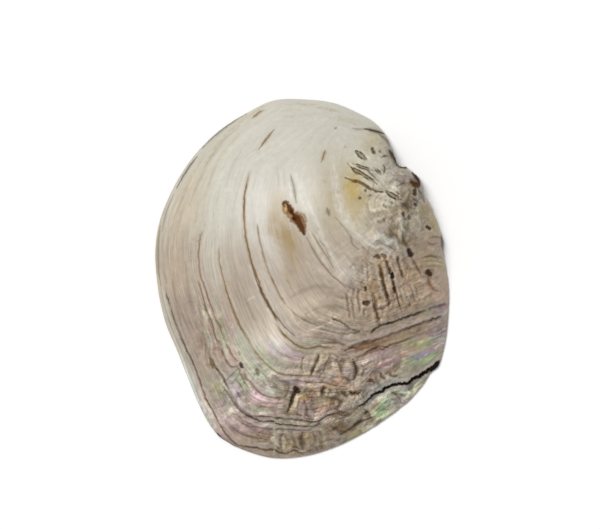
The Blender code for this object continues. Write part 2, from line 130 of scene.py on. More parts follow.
LEDGES = {name: Ledge(*row) for name, row in {
    "main": (((252, 168.5), (250.4, 173.6), (248.5, 180.6), (246.6, 188.3), (245.5, 196), (245, 204.2),
      (245, 213.8), (245.3, 222), (246, 229.7), (246.9, 239.3), (250.3, 253.7), (254.1, 266.7),
      (260, 282), (262, 289), (274, 313), (281.4, 330), (290.5, 339.1), (299.6, 345.5), (307.9, 347),
      (319, 344.8), (325, 346.3), (335, 345.8), (344, 348)), 0.55, 5, (156, 110, 38), 0.95, 0.82, 0.2),
    "rear_main": (((344, 349.1), (353.6, 343.4), (367, 339.6), (376.5, 338.6), (386.1, 334.8),
      (395.7, 331.4), (408, 327), (420, 323), (433, 318.5), (445, 315)), 0.85, 5, REDDISH, 1.5, 0.7, 0.5),
    "rear_lower": (((350.7, 355.8), (362.2, 354.9), (367, 351), (375.6, 346.3), (381.3, 347.7),
      (390.9, 343.4), (400.4, 341), (412, 336)), 0.4, 3, BROWN, 1.1, 0.55, 0.5),
    "inside_main": (((257.9, 222), (258.6, 230), (261.5, 244.6), (267.7, 266.7), (275, 283.9),
      (281.2, 296), (288, 306)), 0.25, 4, (142, 92, 36), 0.8, 0.6, 0.1),
    "second": (((220.4, 243), (220.4, 260.6), (223.5, 274.4), (227.3, 289.7), (231.1, 301.2),
      (235.7, 313.4), (240.3, 324.1), (246.4, 334.8), (255.7, 350.7), (264.8, 360.7), (273.1, 368.1),
      (281.4, 372.3), (293, 374), (307.9, 374), (319.5, 374.8)), 0.4, 4, (156, 112, 46), 0.8, 0.68, 0.15),
    "third": (((203.6, 228), (200.5, 241.5), (199.4, 253), (200.1, 262.9), (202, 277.4), (205.1, 285.1),
      (208.2, 295), (212.8, 307.3), (215.8, 316.5), (220.4, 325.7), (225, 338.7)), 0.3, 3.5, BROWN, 0.8,
      0.66, 0.3),
    "third_branch": (((199, 279), (203.6, 295), (207.4, 310.4), (212.8, 321.8), (215.8, 335.6),
      (219, 340.5), (223.5, 341)), 0.2, 3, BROWN, 0.8, 0.65, 0.3),
    "third_low_a": (((221.7, 347), (227.5, 360.7), (232.4, 365.7), (238.2, 365.7)), 0.2, 2.5, REDDISH,
      0.8, 0.6, 0.2),
    "third_low_b": (((226.6, 342), (234.1, 355.7), (239.9, 361.5)), 0.25, 2.5, REDDISH, 0.8, 0.6, 0.2),
    "third_rear": (((243.2, 368.1), (248.2, 378.1), (255.7, 386.4), (263.1, 393), (273.1, 396.3),
      (283, 395.5)), 0.25, 3, ROSE_BROWN, 0.8, 0.6, 0.2),
    "third_rear_low": (((243.2, 383.1), (250.7, 393), (259.8, 399.7), (269.8, 402.1), (282, 402)), 0.2, 3,
      ROSE_BROWN, 0.8, 0.45, 0.2),
    "fourth": (((211, 358), (216.3, 367), (220, 371.5), (225, 379.8), (232.4, 394.7), (240.7, 407.1),
      (248.2, 412.9), (253.2, 415.4), (264.8, 415.4), (278, 417.1), (291.3, 417.9), (302.9, 419.6),
      (315.4, 420.8), (322, 417.9), (329.5, 413.7), (338, 411.5), (346, 409)), 0.45, 4, (72, 54, 40), 0.8,
      0.78, 0.4),
    "fourth_b": (((220, 380.6), (230, 394.7), (240.7, 409.6), (254.8, 417.9), (261.5, 420.4), (270, 420),
      (279.7, 422.9), (294.6, 424.5), (307.9, 425.4), (317.8, 423.7), (327.8, 420.4)), 0.3, 3,
      (72, 54, 42), 0.8, 0.76, 0.4),
    "fourth_c": (((234.9, 408.8), (241.6, 417.9), (253.2, 424.5), (266.4, 427.8), (280, 428),
      (291.3, 428.7), (305.4, 429.5), (315.4, 427.8)), 0.25, 3, (112, 88, 98), 1.1, 0.55, 0.3),
    "last": (((165.3, 282.4), (166.8, 293.5), (170, 304), (174.5, 318.8), (180, 332.5), (186, 347.9),
      (192, 359.3), (201, 382.2), (206.1, 397.6), (213.8, 411.6), (224, 430.7), (236.6, 443.6),
      (244.9, 446.1), (255.7, 446.9), (264.8, 449.4), (273.1, 448.6), (278, 451.1), (286.3, 452.7),
      (294.6, 449.4), (301.3, 452.7), (309.6, 450.2), (317.8, 445.3)), 0.4, 3, (84, 56, 30), 0.9, 0.76,
      0.4),
    # the inner step's near-black line is painted shadow at the foot of the step
    "inner_step": (((368.3, 333.3), (372, 329.5), (379, 324.9), (386.6, 322.6), (396.6, 319.5),
      (406.5, 315.7), (416.5, 312.7), (426.8, 308.8)), 0.75, 4, PAINTED_SHADOW_BLACK, 1.1, 0.9, 0.7),
    "inner_step_end": (((426.8, 308.8), (437, 306), (446, 303)), 0.35, 3, (122, 112, 124), 2, 0.7, 0.3),
    "inner_step_front": (((330, 317.2), (337.7, 319.5), (343, 322.6), (351.4, 328.7), (360.6, 330.3)),
      0.35, 3, DARK_BROWN, 1, 0.8, 0.6),
    "inner_hair": (((318, 327), (330, 330.3), (341.5, 332.2), (353, 331.8), (361, 330)), 0.15, 3, OLIVE,
      0.8, 0.6, 0.2),
}.items()}

# The open crack across the wing: its trace, and the gap's width at points along it, in pixels
WING_CRACK = (
    (356.4, 406.5), (363.1, 402.7), (370.8, 395), (375.6, 391.2), (381.3, 390.3),
    (384.2, 386.4), (390.9, 383.6), (400.4, 381.7), (407.1, 382.1), (411, 377.8),
    (419.6, 374), (425.3, 369.7), (431.1, 366.4), (440, 358.7),
)
CRACK_SHARES = (0.0, 0.12, 0.35, 0.60, 0.80, 0.92, 1.0)
CRACK_GAPS = (0.8, 1.3, 2.2, 2.4, 3.4, 5.0, 6.5)
CRACK_DROP = 1.5 * MM
CRACK_REACH = 9.0 * MM
CRACK_GULLEY = 0.9 * MM
CRACK_EDGE = 0.35 * MM
CRACK_LIP_HEIGHT = 0.35 * MM
CRACK_LIP_WIDTH = 2.0 * MM
CRACK_JAG = 0.7
CRACK_SEED = 7

# A fold: its trace, depth, half width, and the dirt in it
Fold = namedtuple("Fold", "trace depth half_width ink strength")

FOLDS = [Fold(*row) for row in (
    # hollows between the ribs below the beak
    (((378, 262), (379.5, 270), (381, 280), (384.5, 292), (387, 301.5), (386, 308)), 1.1, 1.6,
      (100, 70, 36), 0.78),
    (((383, 256), (386.5, 264.5), (389.5, 274), (392, 284), (395.5, 297)), 1.1, 1.5, (96, 66, 36), 0.8),
    (((396, 254), (397.5, 264.5), (401, 274), (403, 279)), 0.8, 1.4, (104, 78, 46), 0.7),
    (((371, 289), (373, 297), (375, 307), (376.8, 319), (378, 326)), 0.6, 1.7, (122, 94, 72), 0.6),
    (((374, 308), (381, 308), (387, 304), (391.2, 298)), 0.45, 1.3, (116, 88, 58), 0.6),
    # the ribs beside them
    (((345, 291), (347, 300), (348.5, 312), (350, 320)), 0.35, 1.3, (134, 108, 84), 0.5),
    (((350.5, 297), (352, 308), (354.5, 319)), 0.35, 1.2, (134, 108, 84), 0.45),
    (((357, 287), (357.5, 300), (360.5, 314)), 0.4, 1.3, (126, 98, 74), 0.5),
    (((352.5, 288), (353, 296)), 0.3, 1.2, (134, 108, 84), 0.4),
    (((397, 286), (400, 296), (403, 304)), 0.25, 1.1, (136, 110, 88), 0.4),
    (((402, 286), (405, 294), (408.5, 304)), 0.3, 1.1, (132, 106, 84), 0.45),
    (((408, 283), (411, 292), (414, 302)), 0.25, 1.1, (136, 110, 88), 0.4),
    (((413, 284), (417, 295), (419, 302)), 0.25, 1.1, (140, 116, 94), 0.35),
    (((363, 308), (362.5, 316)), 0.35, 1.2, (120, 90, 68), 0.5),
    (((366, 262), (367, 274), (367.5, 283)), 0.25, 1.2, (146, 124, 104), 0.35),
    # pleats of the middle ledge
    (((319, 351), (317.5, 357), (315.5, 364), (309.5, 373)), 0.9, 1.7, (112, 92, 66), 0.75),
    (((330, 352), (330.5, 362), (327, 373)), 0.4, 1.6, (150, 132, 110), 0.4),
    (((304, 354), (303.5, 364), (300, 373)), 0.35, 1.6, (160, 142, 120), 0.4),
    (((351.7, 359), (355.5, 368.3), (353.6, 380)), 0.7, 2.2, (128, 104, 82), 0.6),
    (((345, 357), (342, 366), (343, 376)), 0.4, 2, (150, 128, 104), 0.4),
    (((325, 383), (322, 390), (323, 397)), 0.6, 1.8, (124, 100, 76), 0.6),
    # the hem of the rear end
    (((283, 431), (280, 437), (281.5, 443), (279.5, 449)), 0.4, 2, (110, 90, 58), 0.24),
    (((290, 429), (292, 436), (295, 442), (294, 449)), 0.3, 1.5, (104, 84, 54), 0.2),
    (((303, 430), (301, 438), (303.5, 444), (302, 451)), 0.4, 2.2, (92, 74, 48), 0.22),
    (((318, 429), (322, 436), (320, 444)), 0.25, 1.6, (118, 100, 72), 0.16),
    # the strip below the crack, and the worn places above it
    (((353.6, 427), (359, 422.5), (364, 414), (370, 410)), 0.5, 2.2, (104, 90, 70), 0.55),
    (((364, 410), (367, 415), (372, 419)), 0.45, 2, (110, 98, 76), 0.45),
    (((389, 392), (395, 393), (401, 394), (406, 398)), 0.55, 2, (108, 98, 76), 0.55),
    (((348, 391), (354, 392.5), (361.5, 391.5)), 0.75, 1.9, (112, 78, 48), 0.85),
    (((380, 371), (381.5, 376), (386, 378.5)), 0.45, 1.4, (98, 84, 70), 0.7),
    (((389, 372), (392, 376), (398, 375)), 0.45, 1.4, (92, 80, 70), 0.7),
)]

# A pit or worm groove: its trace, depth, half width, the dirt in it and its pale lip
Groove = namedtuple("Groove", "trace depth half_width ink strength lip")

GROOVES = [Groove(*row) for row in (
    # the scar near the middle
    (((285, 206.5), (286.4, 212.5)), 0.3, 2.3, (190, 142, 84), 0.85, 0),
    (((288, 213), (291, 217), (296, 224)), 0.3, 2.6, (150, 104, 56), 0.75, 0),
    (((298, 213), (303.5, 217.5), (305.6, 226)), 0.2, 1.6, (164, 128, 86), 0.75, 0),
    (((284.6, 207.4), (283.8, 204.4), (286.4, 202.6), (289, 203.2)), 0.5, 1, (104, 56, 16), 0.9, 0.2),
    (((287.4, 204.6), (289.8, 208.4), (291.6, 212.5), (294.5, 216)), 0.45, 2.3, (98, 54, 12), 0.98, 0),
    (((296.6, 213.5), (301, 219), (304, 226), (305.4, 232)), 0.3, 1.5, (140, 88, 44), 0.8, 0),
    (((291.6, 212), (296, 217.6), (299.4, 224.6), (303, 232), (304.4, 235)), 0.6, 2.5, (92, 48, 6), 0.98,
      0),
    (((293.4, 219), (294.2, 219.8)), 0.4, 1.3, (74, 36, 8), 0.95, 0),
    # worm grooves of the chalky place
    (((355.6, 153), (360, 156.4), (365.2, 161)), 0.85, 2.3, (96, 86, 60), 0.85, 0.45),
    (((371.7, 150), (373.2, 154.2)), 0.5, 1.3, (96, 74, 48), 0.9, 0.2),
    (((380.5, 158.4), (382.8, 157.2), (386.6, 156.8)), 0.4, 0.8, (92, 80, 56), 0.8, 0.2),
    (((347.2, 164.9), (353, 170.6), (359, 173.7), (366, 178.3), (375.2, 184.4)), 0.55, 1.3, (92, 76, 42),
      0.95, 0.35),
    (((352.2, 164.9), (360.6, 168.3), (368.3, 170.6), (372.9, 172.1)), 0.45, 1.1, (100, 82, 46), 0.9,
      0.3),
    (((372.9, 168.3), (377.4, 172.9), (380.5, 175.6)), 0.55, 1.1, (98, 88, 62), 0.8, 0.35),
    (((382, 166), (383.6, 169), (382.8, 175.2)), 0.4, 0.8, (104, 94, 66), 0.75, 0.25),
    (((344.5, 179), (352.2, 182), (359, 183.6), (366.7, 188.2), (374.4, 192), (382.8, 193.2)), 0.6, 1.3,
      (110, 80, 36), 0.95, 0.28),
    (((384.6, 192), (392, 197), (400.2, 201)), 0.7, 1.9, (92, 80, 58), 0.85, 0.45),
    (((349.5, 168), (355, 174), (360.5, 176.5)), 0.35, 0.8, (104, 90, 56), 0.75, 0.25),
    (((364, 169.5), (371, 176.5), (377, 182)), 0.35, 0.8, (112, 102, 72), 0.7, 0.25),
    # dots and small marks of the chalky place
    (((364.2, 191.5), (364.8, 192.5)), 0.4, 1, (96, 80, 40), 0.85, 0.25),
    (((358.6, 198.4), (359.4, 199.6)), 0.4, 1.1, (88, 74, 38), 0.85, 0.25),
    (((369, 196), (369.8, 197)), 0.3, 0.8, (110, 92, 50), 0.7, 0.2),
    (((382, 205.8), (384.7, 208.1)), 0.3, 0.8, (110, 100, 84), 0.7, 0.25),
    (((390, 203), (391.2, 204.4)), 0.3, 0.8, (104, 92, 76), 0.7, 0.2),
    (((382, 219.6), (383.4, 221.2)), 0.3, 0.9, (120, 104, 88), 0.6, 0.2),
    (((377, 221.3), (378, 222.6)), 0.25, 0.8, (124, 108, 90), 0.55, 0.15),
    (((379, 151.6), (379.4, 153)), 0.3, 0.8, (96, 84, 58), 0.75, 0.2),
    # pits of the beak
    (((413.6, 190.8), (414, 194.8)), 0.6, 1.7, (84, 60, 38), 0.9, 0.25),
    (((410.4, 183.4), (413.5, 185.2), (416.5, 185.9), (419, 182.5)), 0.6, 2.4, (98, 62, 30), 0.92, 0),
    (((402, 214), (402.8, 215.4)), 0.45, 1.4, (80, 68, 58), 0.88, 0.25),
    (((406.8, 216.8), (407.8, 218)), 0.4, 1.1, (94, 84, 76), 0.75, 0.25),
    (((413.8, 204.4), (414.6, 205.8)), 0.4, 1.1, (92, 80, 68), 0.8, 0.25),
    (((396, 193.5), (397, 195)), 0.3, 0.9, (106, 94, 76), 0.7, 0.25),
    # holes of the ribs, the wing and the rear, and the slit below the largest
    (((407.6, 251), (409.6, 254.6)), 1, 2, (60, 38, 34), 0.94, 0.2),
    (((426.6, 272.2), (429.6, 274)), 0.9, 2.2, (84, 44, 24), 0.92, 0.2),
    (((427, 276), (427.2, 282), (431, 287)), 0.3, 1.3, (158, 116, 86), 0.6, 0),
    (((363, 302.8), (366.6, 302.6)), 0.9, 1.9, (84, 46, 26), 0.92, 0.25),
    (((364.3, 287), (364.5, 290)), 0.7, 1.2, (70, 46, 30), 0.92, 0.2),
    (((391, 273.6), (391.5, 277)), 0.8, 1.3, (48, 34, 28), 0.95, 0.15),
    (((426.4, 227.2), (429, 229.2)), 0.7, 1.5, (84, 50, 26), 0.9, 0.28),
    (((366.6, 380.8), (370, 379.6), (374.4, 382.2)), 0.6, 1.4, (124, 78, 46), 0.9, 0.25),
    (((241.2, 362.6), (242.8, 366)), 0.7, 1.6, (66, 42, 30), 0.95, 0.25),
    (((257.4, 369), (258.6, 373.6)), 0.4, 1.6, (134, 108, 92), 0.7, 0.25),
    (((295.4, 387), (297.4, 389.6)), 1.2, 2.4, (58, 38, 24), 0.95, 0),
    (((297.4, 388), (295.4, 391), (292.6, 396), (291.6, 401), (289.4, 405), (287.6, 411)), 0.9, 1.4,
      (78, 56, 32), 0.9, 0),
    (((210.6, 358.5), (212.6, 362), (213.4, 367)), 0.2, 2.1, (112, 90, 52), 0.75, 0),
    # the ribs' upper ends
    (((372.9, 256.8), (376.5, 256.6), (379.7, 259)), 0.55, 1.8, (104, 68, 40), 0.88, 0.2),
    (((381, 254.8), (384, 257)), 0.4, 1.4, (122, 88, 62), 0.75, 0.2),
)]

# A stroke of colour without any depth: its trace, ink, half width and strength
Stroke = namedtuple("Stroke", "trace ink half_width strength")

STROKES = [Stroke(*row) for row in (
    # slashes and pale bands round the crown
    (((274.8, 130), (268, 138.5), (259, 150.6)), (150, 108, 38), 0.7, 0.9),
    (((263.9, 110.6), (258, 114), (251.8, 119)), (160, 118, 52), 0.8, 0.85),
    (((325, 151.3), (323.6, 156), (321.2, 162.8)), (162, 120, 50), 0.8, 0.85),
    (((296, 176), (300, 190), (303, 204), (309, 218)), (226, 222, 206), 2.2, 0.55),
    (((346, 196), (342, 206), (345, 218), (353, 228)), (192, 180, 150), 1.6, 0.4),
    (((336.4, 128.6), (334.6, 130)), (134, 128, 96), 1, 0.7),
    (((295.4, 116), (292, 117.6), (284, 117.2)), (180, 170, 146), 0.8, 0.6),
    (((344.6, 147.9), (345, 148.7)), (120, 116, 104), 0.8, 0.75),
    # faint rings and smears of the front end
    (((242.8, 150), (237, 159.6), (232.6, 168.5), (230, 175.5), (227, 188)), GREY, 0.9, 0.26),
    (((251.8, 136), (243, 149), (234.8, 162.7), (229, 175), (225.1, 187), (222.7, 199)), GREY, 1, 0.2),
    (((240, 126), (224, 141), (210, 160), (199, 182), (190, 206)), (170, 152, 118), 1.2, 0.28),
    (((262, 160), (257, 150), (262, 142)), GREY, 0.8, 0.22),
    (((264, 106), (247, 117), (231, 130), (216, 147), (206, 163)), (186, 166, 126), 1.5, 0.55),
    (((250, 124), (235, 139), (222, 156), (213, 174), (206, 196)), (188, 172, 140), 1.3, 0.5),
    (((202, 160), (192, 178), (184, 198), (179, 220), (177, 244)), (182, 160, 122), 1.5, 0.5),
    (((192, 176), (181, 200), (173, 226), (169, 250)), (184, 164, 130), 1.2, 0.45),
    (((316, 108), (328, 109.6), (342, 114)), (176, 164, 128), 1.4, 0.7),
    (((330, 119), (345, 121), (358, 126)), (180, 170, 136), 2, 0.55),
    (((296, 103.5), (306, 105.4), (318, 104.8)), (178, 168, 140), 1.1, 0.6),
    (((283, 112), (292, 110.4), (303, 111)), (190, 182, 158), 1.4, 0.5),
    (((346, 118.6), (355, 121), (364, 126.4)), (184, 174, 138), 1.2, 0.6),
    # an olive line, painted shade and brown along the free edge, and the rim's dark edge
    (((160.4, 226), (158.4, 246), (158.6, 268), (161, 286)), (140, 118, 76), 0.9, 0.55),
    # painted shade: a soft shadow edge above the fourth ledge, and a broad darker band on the flank
    (((197, 290), (202.3, 318.5), (204.8, 339), (210, 353), (216, 366)), (132, 108, 90), 1.8, 0.3),
    (((186, 262), (190, 290), (196, 318), (204, 345)), (140, 116, 104), 2.6, 0.25),
    (((174, 272), (176, 300), (182, 326)), (150, 122, 90), 2.2, 0.3),
    (((217.5, 433.5), (221, 438.5), (226, 442)), (20, 18, 16), 1.6, 0.98),
    (((247, 113.8), (232, 122.6), (214, 136.5), (203, 148)), (112, 98, 74), 0.9, 0.75),
    (((197.5, 156.5), (190, 166), (181.5, 179.7), (177, 188)), (84, 74, 62), 0.9, 0.8),
    (((174, 194), (166, 214), (162, 232)), (150, 138, 116), 0.9, 0.5),
    # the torn front end and the beak's margin
    (((364.4, 129.8), (370, 130.6), (376.1, 132.2), (384.6, 134.2)), (90, 58, 22), 1.6, 0.95),
    (((378.8, 135), (386, 140), (389.5, 147)), (134, 104, 54), 1.6, 0.7),
    (((352, 129.5), (360, 130), (368, 130.5)), (158, 148, 112), 0.8, 0.6),
    (((388.9, 151), (393.5, 156.8), (397.3, 163.7), (400, 166.8), (406, 168)), (90, 60, 24), 2.8, 0.95),
    (((412, 173.5), (415.7, 177), (418.5, 181)), (110, 74, 36), 2.8, 0.9),
    # streaks and specks of the crown
    (((277.5, 168.5), (278.5, 178), (279, 188)), (160, 150, 124), 0.8, 0.2),
    (((284.2, 170.4), (284.8, 188.3)), (160, 150, 124), 0.8, 0.2),
    (((281, 172), (282, 190), (283, 200)), (214, 208, 192), 0.9, 0.5),
    (((290.6, 175.5), (292.6, 183), (293.8, 188.3), (296.3, 204.2)), (158, 142, 94), 1.3, 0.65),
    (((289, 184), (290.4, 192), (291.9, 199)), (232, 230, 220), 1, 0.6),
    (((324.2, 180), (324.6, 184)), (168, 160, 120), 1.5, 0.55),
    (((326.4, 209), (328.8, 216)), (150, 140, 84), 1.9, 0.7),
    (((317.6, 227.6), (318.8, 231)), (140, 122, 90), 0.9, 0.65),
    (((335, 218.4), (343.6, 228), (349.7, 237.8), (352, 245), (358.2, 250)), ROSE_BROWN, 0.9, 0.55),
    (((338, 214), (346, 226), (351, 235)), (170, 150, 134), 0.9, 0.35),
    (((356, 222), (362, 231), (367.9, 237.2)), (214, 208, 192), 1.1, 0.65),
    # bands from the scar to the ribs
    (((309, 232), (313, 240), (321.7, 256.9), (328, 268)), (222, 212, 194), 1.4, 0.7),
    (((305.5, 236), (313, 250), (322, 264), (332, 276), (345, 287)), (154, 128, 98), 0.9, 0.65),
    (((312, 234), (319, 245), (326, 256), (333, 268)), (152, 130, 104), 0.8, 0.6),
    (((315, 234), (322, 245), (329, 256), (335, 266)), (224, 216, 200), 1, 0.65),
    (((334, 277), (344, 284.5), (353.6, 288.8)), (150, 124, 104), 0.9, 0.45),
    (((318, 238), (325, 249), (331, 261)), (156, 136, 110), 0.8, 0.6),
    # a scratch, and the cracks of the pits
    (((248, 300.4), (252, 297.4), (256.4, 295.8)), (224, 216, 204), 0.8, 0.6),
    (((241, 366), (234, 372), (227.5, 378.5), (221, 384)), (120, 96, 76), 0.7, 0.6),
    (((241.5, 366), (239, 374), (232, 383)), (148, 130, 110), 0.7, 0.45),
    # white zigzags below the beak and pearly streaks, painted as highlights, with darker lines among them
    # painted highlights: white zigzags
    (((371, 243), (376, 237), (381, 235), (386.5, 243), (393, 240), (396.5, 249)), (232, 228, 216), 1.5,
      0.85),
    (((373, 250), (380, 246), (386, 250.5), (391, 254), (397, 254)), (228, 222, 210), 1.3, 0.75),
    (((378, 241), (383, 245.5), (389, 247), (394, 251)), (122, 112, 92), 1, 0.6),
    (((388, 228), (391, 234), (395, 236), (399, 243)), (134, 124, 106), 1, 0.55),
    (((401, 231), (402, 240), (406, 248), (407, 257)), (92, 80, 62), 1.5, 0.7),
    # painted highlights: pearly streaks along the growth
    (((302, 184), (308, 203), (317, 226), (327, 247), (337, 266)), (232, 230, 220), 2, 0.5),
    (((332, 158), (334, 176), (336, 192), (341, 212), (350, 228), (362, 240), (374, 248)),
      (228, 224, 214), 4.5, 0.6),
    (((313, 196), (320, 214), (329, 232), (341, 250), (352, 262)), (176, 156, 130), 1.5, 0.35),
    # a tan pock, and the yellow beside the hole
    (((239.9, 350.4), (240, 354.6)), (150, 126, 98), 1.8, 0.5),
    (((299.5, 393.4), (302, 395), (306, 398)), (206, 184, 104), 2.2, 0.85),
    # facets, pleats and the fan beside the hole
    (((318.6, 354), (316.6, 361), (314.4, 367), (310, 374)), (70, 50, 30), 1, 0.8),
    (((303, 356), (301.6, 364), (303.4, 372)), (138, 114, 82), 0.9, 0.6),
    (((329, 355), (325, 364), (322, 373)), (132, 106, 74), 0.8, 0.65),
    (((352, 358), (355, 366), (356, 372), (353, 379)), (98, 70, 44), 1.2, 0.75),
    (((340, 356), (336, 364), (332.4, 373)), (224, 212, 192), 1, 0.7),
    (((358, 372), (364, 367), (372, 362)), (220, 204, 188), 1, 0.65),
    (((357, 362), (366, 358), (376, 353.6)), (216, 196, 186), 0.9, 0.55),
    (((304.5, 357), (303, 364), (305, 373)), (224, 214, 186), 1.1, 0.8),
    (((306, 356), (311, 356.4), (317, 354)), (220, 210, 184), 1, 0.7),
    (((321, 354), (318.5, 361), (313, 372)), (226, 208, 176), 1.5, 0.85),
    (((330, 356), (333, 363), (336.5, 374)), (222, 208, 182), 1.1, 0.85),
    (((326, 358), (325, 366), (321, 374)), (128, 104, 72), 1, 0.55),
    (((337, 360), (340, 367), (341, 376)), (110, 84, 56), 1.4, 0.65),
    (((346, 364), (345, 370), (346.5, 376)), (206, 198, 200), 1.5, 0.8),
    (((337, 371), (339, 377), (342, 383)), (206, 170, 140), 1.4, 0.7),
    (((280, 377.5), (295, 377), (310, 378), (322, 377)), (218, 204, 208), 1.2, 0.75),
    (((281, 382.5), (296, 381.5), (310, 383), (322, 384)), (200, 184, 190), 1.2, 0.65),
    (((279, 380), (294, 379.4), (308, 380.6), (320, 380.6)), (124, 102, 100), 0.8, 0.55),
    (((327, 385.4), (322.4, 388), (321.4, 393)), (88, 66, 44), 1.4, 0.8),
    (((319.5, 385), (318, 391), (320, 396)), (204, 192, 176), 1.3, 0.7),
    (((325, 395), (331, 397), (338, 393)), (112, 92, 62), 1.6, 0.6),
    (((297, 393), (294, 403), (291, 416)), (220, 202, 160), 2.2, 0.9),
    (((299, 397), (298, 406), (297, 417)), (150, 130, 118), 0.9, 0.55),
    (((301, 398), (302, 407), (303, 417.6)), (206, 190, 186), 1.6, 0.65),
    (((304, 399), (306, 408), (308.5, 418)), (156, 132, 128), 0.9, 0.6),
    (((307, 400), (310, 408), (313.5, 418)), (206, 190, 188), 1.7, 0.65),
    # the shelf and the torn place behind the fan
    (((333, 393), (340, 394.4), (345, 398), (344, 404), (340, 408)), (230, 214, 184), 1.2, 0.9),
    (((330, 397), (336, 398), (340, 401), (337, 406)), (120, 94, 58), 1.8, 0.7),
    (((322, 404), (326, 407), (331, 405.6)), (206, 168, 136), 1.4, 0.6),
    (((318, 399), (325, 398.6), (332, 401)), (190, 196, 158), 1.1, 0.7),
    (((345, 389), (349, 394), (353, 399)), (216, 196, 172), 1, 0.7),
    # shades of the hem
    (((282, 434), (280, 441), (282, 448)), (96, 78, 50), 1.3, 0.55),
    (((302, 432), (300.6, 440), (303, 449)), (96, 78, 52), 1.5, 0.5),
    (((313, 433), (315, 439), (312, 446)), (112, 92, 62), 1.2, 0.45),
    # soft folds inside the middle ledge, and the lines along it
    (((292, 296), (303, 290), (318, 286), (334, 288)), (162, 142, 116), 2.2, 0.3),
    (((300, 305), (312, 299), (326, 297), (340, 300)), (206, 192, 174), 2.2, 0.5),
    (((306, 313), (320, 307), (336, 306), (350, 309)), (160, 138, 112), 1.7, 0.32),
    (((284, 300), (294, 312), (306, 321), (322, 326)), (216, 206, 190), 2.2, 0.5),
    (((306, 262), (314, 268), (324, 272), (334, 280)), (208, 196, 180), 2, 0.5),
    (((288, 306), (296, 314), (306, 320), (318, 325)), (146, 120, 88), 1, 0.6),
    (((252, 262), (257, 280), (267, 303), (274, 312), (280, 320), (287, 328), (295, 334.6)), (92, 64, 38),
      0.9, 0.75),
    (((250, 266), (255.5, 281), (265, 304), (277, 322), (291, 336)), (226, 218, 204), 1, 0.65),
    # dark and pale lines of the ribs
    (((381, 272), (383.4, 284), (386.6, 297), (388, 304)), (112, 70, 36), 0.9, 0.8),
    (((390, 272), (392.6, 284), (396.4, 297), (399, 306)), (104, 64, 36), 0.8, 0.8),
    (((376.6, 268), (379, 281), (383, 296), (384, 302)), (226, 212, 188), 1.1, 0.75),
    (((386, 268), (388.6, 281), (391.6, 292)), (222, 208, 184), 0.9, 0.7),
    (((355, 291), (355.4, 303), (358, 316)), (220, 206, 184), 0.9, 0.65),
    (((404, 288), (407.4, 296), (411, 304)), (220, 208, 186), 0.8, 0.6),
    # a dark blot of the beak
    (((409, 180), (413, 183), (418, 184.6)), (120, 78, 40), 2.2, 0.75),
    # the ledge behind the ribs
    (((344, 350), (350, 347), (356, 346.5), (362, 343.5), (370, 342), (378, 338)), (104, 62, 38), 1.3,
      0.8),
    (((361, 354), (367, 350), (373, 347.6), (378, 345), (388, 347)), (70, 46, 32), 0.9, 0.8),
    # threads of the hem, and the strip below the crack
    (((275.5, 418), (274, 430), (275.5, 443), (273.4, 454)), (204, 204, 174), 1.1, 0.75),
    (((308, 431), (306.5, 438), (309, 447)), (196, 184, 150), 1.2, 0.6),
    (((291, 448), (295, 446.6), (299, 448.6)), (48, 36, 26), 1.4, 0.75),
    (((320.5, 427), (324, 436), (328.4, 448)), (182, 184, 150), 1.6, 0.65),
    (((330, 425), (338, 430), (345, 430.6)), (104, 84, 58), 1.6, 0.55),
    (((340, 434), (349, 429), (357, 422.6), (364, 420), (372, 417)), (84, 66, 42), 1.3, 0.85),
    (((363, 408), (368, 412), (370, 417)), (96, 76, 50), 1.4, 0.75),
    (((392, 392), (398, 396), (401, 402)), (108, 108, 84), 1.3, 0.65),
    (((386, 398), (392, 403), (395, 408)), (206, 226, 200), 2, 0.65),
    # bands of the wing
    (((338, 347), (356, 341), (372, 336), (392, 329), (412, 322), (430, 316)), (214, 202, 188), 2, 0.6),
    (((346, 352), (358, 348.6), (370, 345), (384, 341), (396, 338)), (142, 84, 54), 1.6, 0.45),
    (((366, 353), (376, 349.4), (384, 349)), (134, 84, 56), 1.3, 0.5),
    (((378, 346), (392, 340), (406, 334.6), (424, 328)), (178, 154, 112), 1.5, 0.55),
    # ridges and hollows of the ribs, and the sides of their hole
    (((383, 268), (385.6, 280), (389, 296)), (214, 196, 174), 1.4, 0.6),
    (((374, 263), (376, 278), (380.6, 298)), (214, 198, 178), 1.6, 0.6),
    (((392, 262), (395, 274), (398, 290)), (212, 198, 178), 1.6, 0.55),
    (((367, 290), (369, 301), (373, 322)), (206, 188, 164), 1.4, 0.55),
    (((359, 290), (360, 303), (362, 318)), (220, 206, 182), 1.1, 0.6),
    (((400, 283), (404, 292), (408, 303)), (212, 198, 176), 0.9, 0.55),
    (((371, 299), (374, 309), (379, 321)), (122, 82, 54), 1, 0.75),
    (((395, 295), (398, 304), (401, 312)), (128, 92, 60), 0.8, 0.7),
    (((383, 309), (391, 311), (396, 308)), (214, 186, 170), 1.6, 0.6),
    (((409, 256), (414, 264), (420, 275)), (116, 74, 66), 1.2, 0.7),
    (((402, 246), (404, 251), (405, 258)), (206, 194, 176), 1.1, 0.7),
    # lines and loops of the hinge side
    (((423, 257), (432, 256), (442, 258)), (150, 122, 78), 0.8, 0.6),
    (((421, 262), (431, 261), (442, 263)), (152, 126, 84), 0.8, 0.55),
    (((424, 267), (434, 265.6), (443, 267)), (156, 130, 90), 0.8, 0.5),
    (((424, 219), (427, 224), (431, 231), (436, 235)), (214, 204, 176), 0.9, 0.65),
    (((429, 238), (436, 237), (442, 239)), (132, 92, 66), 0.9, 0.6),
    (((424, 273), (427, 269.6), (432, 270.4), (433, 275)), (142, 86, 58), 0.9, 0.75),
    (((430, 279), (434, 284), (439, 287)), (224, 200, 182), 1.4, 0.65),
